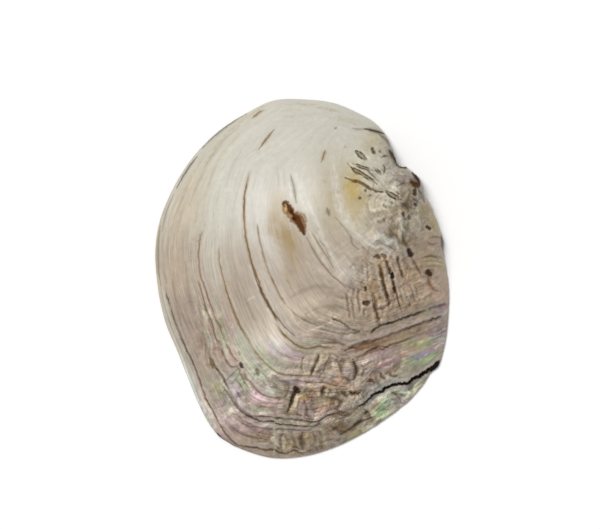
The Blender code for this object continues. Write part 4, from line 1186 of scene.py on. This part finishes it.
def mixed(colours, colour, amount):
    """The colours moved towards one colour by an amount per point."""
    return colours + (linear(colour) - colours) * np.clip(amount, 0, 1)[:, None]


# Where the sheen changes colour: middle, half sizes, turn, strength
IRIDESCENT_PLACES = (
    ((412, 350), (40, 16), 18, 1.0),
    ((392, 405), (40, 13), 36, 0.8),
    ((250, 398), (44, 30), 25, 0.9),
    ((228, 350), (16, 44), 20, 0.7),
    ((300, 352), (40, 12), 0, 0.6),
    ((318, 402), (44, 24), 0, 0.6),
    ((440, 320), (12, 22), 0, 0.8),
    ((262, 432), (40, 12), 20, 0.5),
)

# How the sheen's three tints change red, green and blue, and where its painted glints, small highlights,
# set in
PINK = (0.12, -0.11, 0.06)
GREEN = (-0.12, 0.12, -0.10)
LILAC = (0.02, -0.08, 0.20)
PAINTED_GLINT = (236, 232, 216)
GLINT_FROM, GLINT_SPAN = 0.20, 0.30

# How the worn places are painted: lighter ridges, dirt in the hollows and creases, hairlines
RIDGE_LIFT = 0.42
HOLLOW_DIRT = (86, 60, 30)
CREASE_WIDTH = 0.06
HAIR_INK = (88, 64, 36)
HAIR_WIDTH = 0.07

# Which facets of the broken places are tinted: from this share on, and the colour
FACET_TINTS = (
    (0.0, (216, 206, 190)), (0.25, (112, 78, 42)), (0.5, (182, 150, 104)), (0.75, (176, 158, 158)),
)
FACET_TINT_SHARE = 0.2
FACET_TINT_STRENGTH = 0.34
# each facet's random tone, and the painted shading that runs across it
FACET_TONE_AND_SHADE = 0.72
FACET_CRACK_WIDTH = 0.10
CHIP_TINT = 0.65

# The paint is this much darker than the photograph, because the studio's light is brighter
PAINT_TONE = 0.835
THIN_LINE_TONE = 0.45

# The stain round a dark line: its colour, and the ink's own share of it
HALO = (208, 184, 148)
HALO_INK_SHARE = 0.45

# The two main tones change over this span: the lower beige is pinker and also darker, partly painted shade
# where the dome faces away from the light. Patches smaller than this have a finer outline
SHADED_BEIGE_FROM_ROW = 185
SHADED_BEIGE_SPAN = 95 * PX
SMALL_PATCH = 11


def halo_of(ink):
    """The paler stain round a line of this ink."""
    return tuple(HALO_INK_SHARE * c + (1 - HALO_INK_SHARE) * h for c, h in zip(ink, HALO))


def inked(colours, ink, amount):
    """Thin lines need a darker ink than they show, because a pixel is wider than they are."""
    return colours + (linear(ink) * THIN_LINE_TONE - colours) * np.clip(amount, 0, 1)[:, None]


def banded(points, ragged, bands, f):
    """The face's two main tones, the lower one darker partly as painted shade, and its soft patches, broken
    up by the growth bands.
    """
    down = below_row(ragged, SHADED_BEIGE_FROM_ROW, SHADED_BEIGE_SPAN)
    colours = np.outer(1 - down, linear(CREAM)) + np.outer(down, linear(BEIGE_AND_PAINTED_SHADE))
    finely = shifted(points, 9, 2.2, 19)
    for patch in PATCHES:
        small = min(patch.size) < SMALL_PATCH
        weight = bell(finely if small else ragged, patch.middle, patch.size, patch.turn)
        broken = np.clip(1 + patch.banded * (1.4 * bands + 0.9 * f.grain + 0.9 * f.striae), 0, 1.4)
        colours = mixed(colours, patch.colour, patch.strength * weight * broken)
    return colours


def with_sheen(colours, ragged, f):
    """Pink, green and lilac tints, and small painted glints (highlights) with darker flecks between them,
    in lines along the growth.
    """
    sheen = gathered(ragged, IRIDESCENT_PLACES)
    hue = grown_noise(f.grown, f.around, HUE_NOISE)
    cool = grown_noise(f.grown, f.around, COOL_NOISE)
    for tint, amount in ((PINK, hue), (GREEN, -hue), (LILAC, cool)):
        colours *= 1 + np.outer(sheen * ease((amount - 0.02) / 0.4), tint)
    # painted glints: small pale highlights along the growth lines, and darker flecks where the noise is low
    glints = grown_noise(f.grown, f.around, GLINT_NOISE)
    colours = mixed(colours, PAINTED_GLINT, 0.50 * sheen * ease((glints - GLINT_FROM) / GLINT_SPAN))
    return mixed(colours, HOLLOW_DIRT, 0.28 * sheen * ease((-glints - GLINT_FROM) / GLINT_SPAN))


def with_wear(colours, f):
    """Pale ridges, dirty hollows, tinted facets and dark creases of the worn places; each facet also gets a
    random tone and painted shading across it.
    """
    high = f.off_beak * (0.8 * f.grain * (1 - 0.4 * f.cross) + 1.1 * (f.creases - 0.22) + 0.5 * f.waves)
    high += 0.55 * f.lumps + 0.8 * f.ribs * f.cross
    colours *= (1 + 0.08 * f.rough + RIDGE_LIFT * f.rough * ease((high - 0.05) / 0.7))[:, None]
    colours = mixed(colours, HOLLOW_DIRT, 0.8 * f.rough * ease((-high - 0.10) / 0.6))
    for facet, amount in ((f.facet, 1.0), (f.chip, CHIP_TINT)):
        first, second, du, dv, edge = facet
        # a random tone per facet, plus painted shading: lighter towards one side of the facet, darker
        # towards the other
        tone = FACET_TONE_AND_SHADE * (first - 0.5 + 0.7 * (du * (second - 0.5) - dv * (first - 0.5)))
        colours *= (1 + amount * f.rough * tone)[:, None]
        for low, tint in FACET_TINTS:
            chosen = (second > low) & (second < low + FACET_TINT_SHARE)
            colours = mixed(colours, tint, FACET_TINT_STRENGTH * amount * f.rough * chosen)
        crack = hump(edge / FACET_CRACK_WIDTH) * ease(0.3 + 1.2 * f.lumps)
        colours = inked(colours, HOLLOW_DIRT, 0.55 * amount * f.rough * crack)
    folded = hump(f.creases / CREASE_WIDTH) * ease(f.lumps + 0.4) * f.off_beak
    return inked(colours, HOLLOW_DIRT, 0.45 * f.rough * folded)


def with_hairlines(colours, f):
    """Thin dark lines between the traced ledges, where two growth layers met."""
    drift = value_noise(f.around * 3, f.grown * 9, 29)
    thread = value_noise(f.grown * 44 + 0.25 * drift, f.around * 1.1, 28)
    faded = ease(value_noise(f.around * 9, f.grown * 12, 31) * 1.5 + 0.3)
    hair = hump(thread / HAIR_WIDTH) * faded * (0.12 + 0.25 * f.low + 0.35 * f.rough)
    return inked(colours, HAIR_INK, hair)


def base_colours(points, f):
    """The bands, stains and worn places of the outer face, before the traced marks."""
    ragged = shifted(shifted(points, 26, 8, 15), 7, 3, 18)
    bent = f.grown * 30 + 0.6 * value_noise(f.around * 5, f.grown * 3, 11)
    bands = layered_noise(bent, f.around * 2.5, 12, 3)
    colours = with_sheen(banded(points, ragged, bands, f), ragged, f)
    colours = with_hairlines(with_wear(colours, f), f)
    streaks = (0.028 + 0.070 * f.low + 0.12 * f.rough * f.off_beak) * f.striae
    tone = 0.055 * bands + streaks + 0.12 * f.rough * f.grain * f.off_beak
    return colours * (1 + tone)[:, None]


# A ledge's paint: a pale band before its edge, painted highlight on the step's upper side, a stain round
# it, and the dirt line in its foot
HIGHLIGHT_BEFORE_EDGE = 1.9 * PX
HIGHLIGHT_WIDTH = 1.1 * PX
LEDGE_STAIN_WIDTH = 2.0 * PX
LEDGE_FOOT = 0.2 * PX


def paint_ledge(colours, out, share, piece):
    ends = tapered(share, 0.08)
    # painted highlight: a pale band on the upper layer, just before the step
    colours = mixed(colours, PEARL, 0.30 * hump((out + HIGHLIGHT_BEFORE_EDGE) / HIGHLIGHT_WIDTH) * ends)
    stain = hump(out / LEDGE_STAIN_WIDTH) * ends
    colours = mixed(colours, halo_of(piece.ink), 0.5 * piece.strength * stain)
    along = share * 1.5 * len(piece.trace)
    patchy = np.clip(0.90 + 0.35 * value_noise(along, share * 0 + piece.trace[0][0], 21), 0.5, 1.15)
    wide = piece.width * PX * (0.85 + 0.3 * value_noise(along * 1.7, share * 0 + piece.trace[0][1], 23))
    core = hump((out - LEDGE_FOOT) / wide) * ends
    return inked(colours, piece.ink, 1.1 * piece.strength * core * patchy)


# A fold's paint, in half widths from its middle: where its pale ridges stand, and their spread
PALE_RIDGE = (226, 210, 192)
RIDGE_AT, RIDGE_SPREAD = 1.9, 0.6


def paint_fold(colours, out, share, piece):
    wide = piece.half_width * PX
    ends = tapered(share, 0.15)
    ridge = hump((np.abs(out) - RIDGE_AT * wide) / (RIDGE_SPREAD * wide)) * ends
    colours = mixed(colours, PALE_RIDGE, 0.75 * piece.strength * ridge)
    colours = mixed(colours, halo_of(piece.ink), 0.7 * piece.strength * hump(out / (1.2 * wide)) * ends)
    return inked(colours, piece.ink, 1.1 * piece.strength * hump(out / (0.6 * wide)) * ends)


# Strokes whose colour adds up to more than this are pale; inks redder than blue by this are warm
PALE_STROKE = 440
WARM_INK = 80


def paint_stroke(colours, out, share, piece):
    wide = piece.half_width * PX * (0.4 + 0.75 * tapered(share, 0.35))
    amount = piece.strength * hump(out / wide)
    if sum(piece.ink) > PALE_STROKE:
        worn_off = value_noise(share * 5 * len(piece.trace), out / (1.3 * PX) + piece.trace[0][0], 53)
        return mixed(colours, piece.ink, amount * np.clip(0.75 + 0.7 * worn_off, 0.1, 1))
    if piece.ink[0] - piece.ink[2] > WARM_INK:
        around = 0.5 * piece.strength * hump(out / (2.4 * wide)) * tapered(share, 0.2)
        colours = mixed(colours, halo_of(piece.ink), around)
    return inked(colours, piece.ink, amount)


# Grooves with at least this much of a lip show a dark wall round a paler bottom; the dark wall is painted
# shadow
WORM_LIP = 0.3
WORM_WALL_SHADOW = 0.72
PALE_LIP = (218, 210, 190)
LIP_AT, LIP_SPREAD = 1.8, 0.6
WALL_SHADOW_AT, WALL_SHADOW_SPREAD = 0.9, 0.35


def paint_groove(colours, out, share, piece):
    wide = groove_width(share, piece)
    lip = hump((np.abs(out) - LIP_AT * wide) / (LIP_SPREAD * wide))
    colours = mixed(colours, PALE_LIP, piece.lip * lip)
    inside = hump(out / (1.1 * wide), 4)
    # painted shadow: a dark band along the groove's walls
    wall = hump((np.abs(out) - WALL_SHADOW_AT * wide) / (WALL_SHADOW_SPREAD * wide))
    if piece.lip >= WORM_LIP:
        colours = mixed(colours, halo_of(piece.ink), 0.8 * piece.strength * inside)
        return inked(colours, [WORM_WALL_SHADOW * c for c in piece.ink], 1.35 * piece.strength * wall)
    colours = mixed(colours, piece.ink, piece.strength * inside)
    # the pit's walls get painted shade, darker than its inside
    return mixed(colours, [0.6 * c for c in piece.ink], 0.6 * piece.strength * wall)


# The crack's two pale lips, a painted highlight along the upper one and the same pale colour along the
# lower one: their colour, how far beside the gap they stand, and their widths
CRACK_LIP_HIGHLIGHT = (188, 194, 188)
UPPER_LIP_AT, UPPER_LIP_WIDTH = 2.0 * PX, 1.3 * PX
LOWER_LIP_AT, LOWER_LIP_WIDTH = 2.4 * PX, 1.2 * PX


def paint_crack(colours, out, share, piece):
    gap = crack_gap(share)
    upper = hump((out + UPPER_LIP_AT) / UPPER_LIP_WIDTH)
    lower = hump((out - gap - LOWER_LIP_AT) / LOWER_LIP_WIDTH)
    colours = mixed(colours, CRACK_LIP_HIGHLIGHT, 0.5 * (upper + lower) * tapered(share, 0.1))
    # painted shadow: the open gap of the crack painted near-black
    inside = ease((out + 0.5 * PX) / (0.6 * PX)) * ease((gap + 0.6 * PX - out) / (0.8 * PX))
    return mixed(colours, PAINTED_SHADOW_BLACK, 0.98 * inside * tapered(share, 0.03))


PAINTERS = {"ledge": paint_ledge, "fold": paint_fold, "stroke": paint_stroke,
            "groove": paint_groove, "crack": paint_crack}

# Worn chalky places without polish
DULL_PLACES = (((400, 192), (30, 46), 0, 0.85),)


def outer_colours(points, fields, pieces):
    """The outer face's colour at each point, in linear values, and how polished it is."""
    colours = base_colours(points, fields)
    clean = colours.copy()
    for kind, piece, at, out, share in pieces:
        colours[at] = PAINTERS[kind](colours[at], out, share, piece)
    colours = colours * PAINT_TONE
    kept = colours.sum(axis=1) / (clean.sum(axis=1) * PAINT_TONE)
    bright = colours.sum(axis=1) / 3
    polish = np.clip(kept, 0, 1) * (0.15 + 0.85 * ease((bright - 0.02) / 0.30))
    return colours, polish * (1 - gathered(points, DULL_PLACES))


# The inner face: scars of the two closing muscles, and the line where the mantle was fixed
INNER_NACRE = (206, 199, 190)
INNER_WARM = (196, 178, 160)
INNER_GREEN = (188, 196, 184)
MANTLE_LINE = (168, 150, 130)
INNER_RIM = (172, 156, 128)
SCAR_FLOOR = (184, 170, 154)
SCAR_EDGE = (150, 132, 112)
MUSCLE_SCARS = (
    ((366, 150), (16, 12), 30, 0.3),
    ((352, 372), (20, 14), 25, 0.3),
)
MANTLE_LINE_SHARE, MANTLE_LINE_WIDTH = 0.86, 0.008
INNER_RIM_SHARE, INNER_RIM_SPAN = 0.93, 0.07


def inner_height(points):
    height = dome(points, bowl_radius, LIP_HEIGHT, DOME_HEIGHT - WALL)
    for middle, size, turn, depth in MUSCLE_SCARS:
        height += depth * MM * ease(bell(points, middle, size, turn) / 0.5 - 0.3)
    return height


def inner_colours(points):
    radius, angle = polar(points)
    share = radius / bowl_radius(angle)
    drift = plan_noise(points, 30, 70)
    colours = np.tile(linear(INNER_NACRE), (len(points), 1))
    colours = mixed(colours, INNER_WARM, 0.4 + 0.6 * drift)
    colours = mixed(colours, INNER_GREEN, 0.35 * ease(drift * 2 - 0.4))
    line = hump((share - MANTLE_LINE_SHARE - 0.01 * drift) / MANTLE_LINE_WIDTH)
    colours = mixed(colours, MANTLE_LINE, 0.6 * line)
    colours = mixed(colours, INNER_RIM, 0.6 * ease((share - INNER_RIM_SHARE) / INNER_RIM_SPAN))
    for middle, size, turn, _ in MUSCLE_SCARS:
        weight = bell(points, middle, size, turn)
        edge = hump((weight - 0.4) / 0.06)
        colours = mixed(colours, SCAR_FLOOR, 0.5 * ease(weight / 0.4 - 0.6))
        colours = mixed(colours, SCAR_EDGE, 0.5 * edge)
    return colours


def feature_points():
    """Extra points along every ledge, fold, groove and stroke, so that the mesh turns there."""
    found = []

    def rows(line, side):
        centre, right = stations(line, ROW_SPACING)
        found.extend(centre + right * offset for offset in (0.0, -side, side))

    for _, line in LEDGE_LINES:
        rows(line, LEDGE_ROW)
    centre, right = stations(CRACK_LINE, ROW_SPACING)
    gap = crack_gap(np.linspace(0, 1, len(centre)))[:, None]
    for offset in (0.0, -CRACK_ROWS[0], gap, gap + CRACK_ROWS[1]):
        found.append(centre + right * offset)
    for piece, line in FOLD_LINES + GROOVE_LINES + STROKE_LINES:
        rows(line, piece.half_width * PX)
    return np.concatenate(found)


def thinned(points, least):
    """The points without those that lie closer than this to an earlier one."""
    kept = []
    taken = {}
    for x, y in points:
        i, j = int(x // least), int(y // least)
        around = (q for a in (-1, 0, 1) for b in (-1, 0, 1) for q in taken.get((i + a, j + b), ()))
        if all((x - q[0]) ** 2 + (y - q[1]) ** 2 >= least**2 for q in around):
            taken.setdefault((i, j), []).append((x, y))
            kept.append((x, y))
    return np.array(kept)


def lattice(reach, spacing, thin_out=None):
    """Points in staggered rows over the sheet, clear of its rim, fewer where nothing is."""
    rows = []
    row_gap = spacing * math.sqrt(3) / 2
    lines = np.arange(round(-SHELL_LENGTH / row_gap), round(SHELL_LENGTH / row_gap))
    columns = np.arange(round(-SHELL_LENGTH / spacing), round(SHELL_LENGTH / spacing))
    for k in lines:
        x = columns * spacing + (spacing / 2 if k % 2 else 0)
        coarse = (k % 2 == 0) & (columns % 2 == (k // 2) % 2)
        rows.append(np.stack([x, np.full(len(x), k * row_gap), coarse], axis=1))
    points = np.concatenate(rows)
    plan, coarse = points[:, :2], points[:, 2] > 0
    radius, angle = polar(plan)
    keep = radius < reach(angle) - 0.6 * spacing
    if thin_out is not None:
        keep[keep] = coarse[keep] | ~thin_out(plan[keep])
    return plan[keep]


# Where there is nothing but soft bands, so that fewer points do: middle, half sizes, turn
PLAIN_PLACES = (
    ((285, 130), (95, 32), 0),
    ((205, 215), (34, 62), -20),
    ((300, 165), (46, 26), 0),
    ((300, 268), (26, 18), 0),
    ((186, 300), (11, 60), 10),
)
PLAIN_FROM = 0.55


def is_plain(points):
    return sum(bell(points, *place) for place in PLAIN_PLACES) > PLAIN_FROM


def sheet(angles, reach, spacing, extra=None, thin_out=None):
    """Plan points and triangles that fill the outline; the rim's points come first."""
    border = from_polar(reach(angles), angles)
    inside = lattice(reach, spacing, thin_out)
    if extra is not None:
        radius, angle = polar(extra)
        extra = spread_out(extra[radius < reach(angle) - CLEAR_OF_RIM], reach)
        extra = thinned(extra, CLOSEST_POINTS)
        tree = KDTree(len(extra))
        for i, (x, y) in enumerate(extra):
            tree.insert((x, y, 0), i)
        tree.balance()
        gap = np.array([tree.find((x, y, 0))[2] for x, y in inside])
        inside = np.concatenate([extra, inside[gap > CLEAR_OF_FEATURES]])
    flat = np.concatenate([border, inside])
    outline = [list(range(len(border)))]
    _, _, faces, sources, _, owners = delaunay_2d_cdt(
        [Vector(p) for p in flat], [], outline, ALL_TRIANGLES, WELD_DISTANCE, True)
    triangles = np.array([[sources[i][0] for i in face] for face, owner in zip(faces, owners) if owner])
    plan = np.concatenate([border, drawn_in(inside, reach)])
    return plan, triangles


def rim_stations():
    """Directions from the crown at which the rim's points stand, evenly along the rim."""
    line = np.concatenate([RIM_LINE, RIM_LINE[:1]])
    lengths = np.concatenate([[0], np.cumsum(np.hypot(*np.diff(line, axis=0).T))])
    wanted = np.arange(RIM_COUNT) * lengths[-1] / RIM_COUNT
    found = np.stack([np.interp(wanted, lengths, line[:, k]) for k in (0, 1)], axis=1)
    return polar(found)[1]


RIM_BAND = (176, 160, 136)
RIM_POLISH = 0.5
LEFT_FROM_COLUMN = 235
LEFT_SPAN = 60 * PX


def shell_surface():
    """Points, faces and point fields of the whole shell: outer face, rim and inner bowl."""
    angles = rim_stations()
    outer, outer_faces = sheet(angles, rim_radius, FINE_SPACING, feature_points(), is_plain)
    inner, inner_faces = sheet(angles, bowl_radius, INNER_SPACING)
    foot_out = from_polar(rim_radius(angles) - EDGE_ROUND, angles)
    foot_in = from_polar(bowl_radius(angles) + EDGE_ROUND, angles)
    plan = np.concatenate([outer, inner, foot_out, foot_in])
    face, pieces = face_fields(outer), placed(outer)
    heights = np.concatenate([
        outer_height(outer, face, pieces), inner_height(inner), np.zeros(2 * RIM_COUNT)])
    painted, polish = outer_colours(outer, face, pieces)
    band = np.tile(linear(RIM_BAND), (2 * RIM_COUNT, 1))
    colours = np.concatenate([painted, inner_colours(inner), band])
    polish = np.concatenate([polish, np.ones(len(inner)), np.full(2 * RIM_COUNT, RIM_POLISH)])
    starts = np.cumsum([0, len(outer), len(inner), RIM_COUNT])
    step = np.arange(RIM_COUNT)
    ahead = (step + 1) % RIM_COUNT

    def bridge(upper, lower):
        a, b = starts[upper] + step, starts[lower] + step
        c, d = starts[lower] + ahead, starts[upper] + ahead
        return np.concatenate([np.stack([a, b, c], axis=1), np.stack([a, c, d], axis=1)])

    faces = np.concatenate([
        outer_faces, inner_faces[:, ::-1] + starts[1],
        bridge(0, 2), bridge(2, 3), bridge(3, 1),
    ])
    grown, around = growth(plan)
    left = ease((spot((LEFT_FROM_COLUMN, 0))[0] - outer[:, 0]) / LEFT_SPAN)
    streaky, worn = np.zeros(len(plan)), np.zeros(len(plan))
    streaky[:len(outer)] = np.clip(0.15 + 0.45 * face.low + 0.4 * left + 0.5 * face.rough, 0, 1)
    worn[:len(outer)] = face.rough
    fields = {"growth": grown, "around": around, "polish": polish, "streaky": streaky, "worn": worn}
    return np.column_stack([plan, heights]), faces, fields, colours


def shell_object():
    points, faces, fields, colours = shell_surface()
    mesh = bpy.data.meshes.new("shell_valve")
    mesh.from_pydata(points.tolist(), [], faces.tolist())
    for name, values in fields.items():
        mesh.attributes.new(name, "FLOAT", "POINT").data.foreach_set("value", values)
    tint = np.column_stack([colours, np.ones(len(points))])
    mesh.attributes.new("tint", "FLOAT_COLOR", "POINT").data.foreach_set("color", tint.ravel())
    mesh.validate()
    mesh.shade_smooth()
    valve = bpy.data.objects.new("shell_valve", mesh)
    bpy.context.scene.collection.objects.link(valve)
    print("shell_valve:", len(points), "points,", len(mesh.polygons), "triangles")
    return valve


def build_nodes(material, recipe):
    """Makes shader nodes from (name, type, settings, inputs); an input is a value or an output."""
    tree = material.node_tree
    made = {node.name: node for node in tree.nodes}
    for name, kind, settings, inputs in recipe:
        node = made.get(name) or tree.nodes.new(kind)
        node.name = name
        made[name] = node
        for key, value in settings.items():
            setattr(node, key, value)
        for key, value in inputs.items():
            if isinstance(value, str):
                source, socket = value.split(".")
                tree.links.new(made[source].outputs[socket], node.inputs[key])
            else:
                node.inputs[key].default_value = value


def times(name, value, factor):
    return name, "ShaderNodeMath", {"operation": "MULTIPLY"}, {0: value, 1: factor}


def times_plus(name, value, factor, more):
    return name, "ShaderNodeMath", {"operation": "MULTIPLY_ADD"}, {0: value, 1: factor, 2: more}


def noise(name, place, scale, detail):
    inputs = {"Vector": place, "Scale": scale, "Detail": detail, "Roughness": 0.6}
    return name, "ShaderNodeTexNoise", {}, inputs


def mapped(name, value, low, high, dark, light):
    """A value from low to high turned into one from dark to light."""
    inputs = {"Value": value, "From Min": low, "From Max": high, "To Min": dark, "To Max": light}
    return name, "ShaderNodeMapRange", {}, inputs


LINE_STRETCH = (210, 7, 1)
MOTTLE_SCALE = 420.0
RIDGE_DISTANCE = 0.0003


def nacre_material():
    """Polished mother of pearl: painted bands, finer ones from the growth field, soft gloss."""
    material = bpy.data.materials.new("polished_nacre")
    material.use_nodes = True
    fields = ("tint", "growth", "around", "polish", "worn", "streaky")
    build_nodes(material, (
        *((name, "ShaderNodeAttribute", {"attribute_name": name}, {}) for name in fields),
        ("place", "ShaderNodeTexCoord", {}, {}),
        ("line_run", "ShaderNodeCombineXYZ", {}, {"X": "growth.Fac", "Y": "around.Fac"}),
        ("stretch", "ShaderNodeMapping", {}, {"Vector": "line_run.Vector", "Scale": LINE_STRETCH}),
        noise("lines", "stretch.Vector", 1.0, 4.0),
        noise("mottle", "place.Object", MOTTLE_SCALE, 5.0),
        times_plus("line_dark", "streaky.Fac", -0.34, 0.97),
        times_plus("line_light", "streaky.Fac", 0.26, 1.03),
        mapped("line_tone", "lines.Fac", 0.28, 0.72, "line_dark.Value", "line_light.Value"),
        times_plus("mottle_dark", "worn.Fac", -0.30, 0.95),
        times_plus("mottle_light", "worn.Fac", 0.30, 1.05),
        mapped("mottle_tone", "mottle.Fac", 0.30, 0.70, "mottle_dark.Value", "mottle_light.Value"),
        times("tone", "line_tone.Result", "mottle_tone.Result"),
        ("paint", "ShaderNodeVectorMath", {"operation": "SCALE"}, {0: "tint.Color", "Scale": "tone.Value"}),
        mapped("gloss", "worn.Fac", 0.0, 1.0, 0.44, 0.30),
        times("shine", "polish.Fac", 0.38),
        times("coating", "polish.Fac", 0.16),
        times("scuffs", "mottle.Fac", "worn.Fac"),
        times_plus("ridge_height", "lines.Fac", "streaky.Fac", "scuffs.Value"),
        ("ridges", "ShaderNodeBump", {},
         {"Height": "ridge_height.Value", "Strength": 0.5, "Distance": RIDGE_DISTANCE}),
        ("Principled BSDF", "ShaderNodeBsdfPrincipled", {},
         {"Base Color": "paint.Vector", "Roughness": "gloss.Result", "Normal": "ridges.Normal",
          "Specular IOR Level": "shine.Value", "Coat Weight": "coating.Value", "Coat Roughness": 0.34}),
    ))
    return material


def plain_material(name, colour, roughness):
    material = bpy.data.materials.new(name)
    material.use_nodes = True
    shader = material.node_tree.nodes["Principled BSDF"]
    shader.inputs["Base Color"].default_value = (*colour, 1)
    shader.inputs["Roughness"].default_value = roughness
    return material


FLOOR_RADIUS = 6.0
FLOOR_DROP = 0.0002
FLOOR_WHITE = (0.93, 0.93, 0.93)
FLOOR_ROUGHNESS = 0.9


def make_floor():
    mesh = bpy.data.meshes.new("floor")
    r = FLOOR_RADIUS
    mesh.from_pydata([(-r, -r, 0), (r, -r, 0), (r, r, 0), (-r, r, 0)], [], [(0, 1, 2, 3)])
    floor = bpy.data.objects.new("floor", mesh)
    floor.location.z = -FLOOR_DROP
    bpy.context.scene.collection.objects.link(floor)
    mesh.materials.append(plain_material("pale_floor", FLOOR_WHITE, FLOOR_ROUGHNESS))


SKY_COLOUR = (1.0, 0.995, 0.985, 1)
SKY_STRENGTH = 0.46
KEY_STRENGTH = 2.35
KEY_FROM = (-0.38, 0.34, 0.86)
KEY_SPREAD = 26.0


def make_light():
    scene = bpy.context.scene
    world = bpy.data.worlds.new("studio")
    world.use_nodes = True
    sky = world.node_tree.nodes["Background"]
    sky.inputs["Color"].default_value = SKY_COLOUR
    sky.inputs["Strength"].default_value = SKY_STRENGTH
    scene.world = world
    lamp = bpy.data.lights.new("window_light", "SUN")
    lamp.energy = KEY_STRENGTH
    lamp.angle = math.radians(KEY_SPREAD)
    key = bpy.data.objects.new("window_light", lamp)
    key.rotation_euler = Vector(KEY_FROM).to_track_quat("Z", "Y").to_euler()
    scene.collection.objects.link(key)
    scene.view_settings.view_transform = "Standard"


CAMERA_DISTANCE = 2.0
FARTHEST_SEEN = 20.0
SENSOR = 36.0


def make_camera():
    """Straight above the shell, framed as the photograph is."""
    width = PHOTO_SIZE[0] * PX
    centre = spot((PHOTO_SIZE[0] / 2, PHOTO_SIZE[1] / 2))
    lens = bpy.data.cameras.new("camera")
    lens.sensor_width = SENSOR
    lens.lens = SENSOR * CAMERA_DISTANCE / width
    lens.clip_end = FARTHEST_SEEN
    camera = bpy.data.objects.new("camera", lens)
    camera.location = (centre[0], centre[1], CAMERA_DISTANCE)
    bpy.context.scene.collection.objects.link(camera)
    bpy.context.scene.camera = camera


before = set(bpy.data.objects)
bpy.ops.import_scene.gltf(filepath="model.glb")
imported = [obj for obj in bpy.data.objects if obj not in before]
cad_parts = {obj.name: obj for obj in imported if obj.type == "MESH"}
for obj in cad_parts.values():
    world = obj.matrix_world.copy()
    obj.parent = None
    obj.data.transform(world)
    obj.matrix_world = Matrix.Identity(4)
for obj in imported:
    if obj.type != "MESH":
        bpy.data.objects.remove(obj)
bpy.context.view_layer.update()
make_camera()
make_light()
make_floor()
valve = shell_object()
valve.data.materials.append(nacre_material())
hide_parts(NODE)
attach(valve, "root")
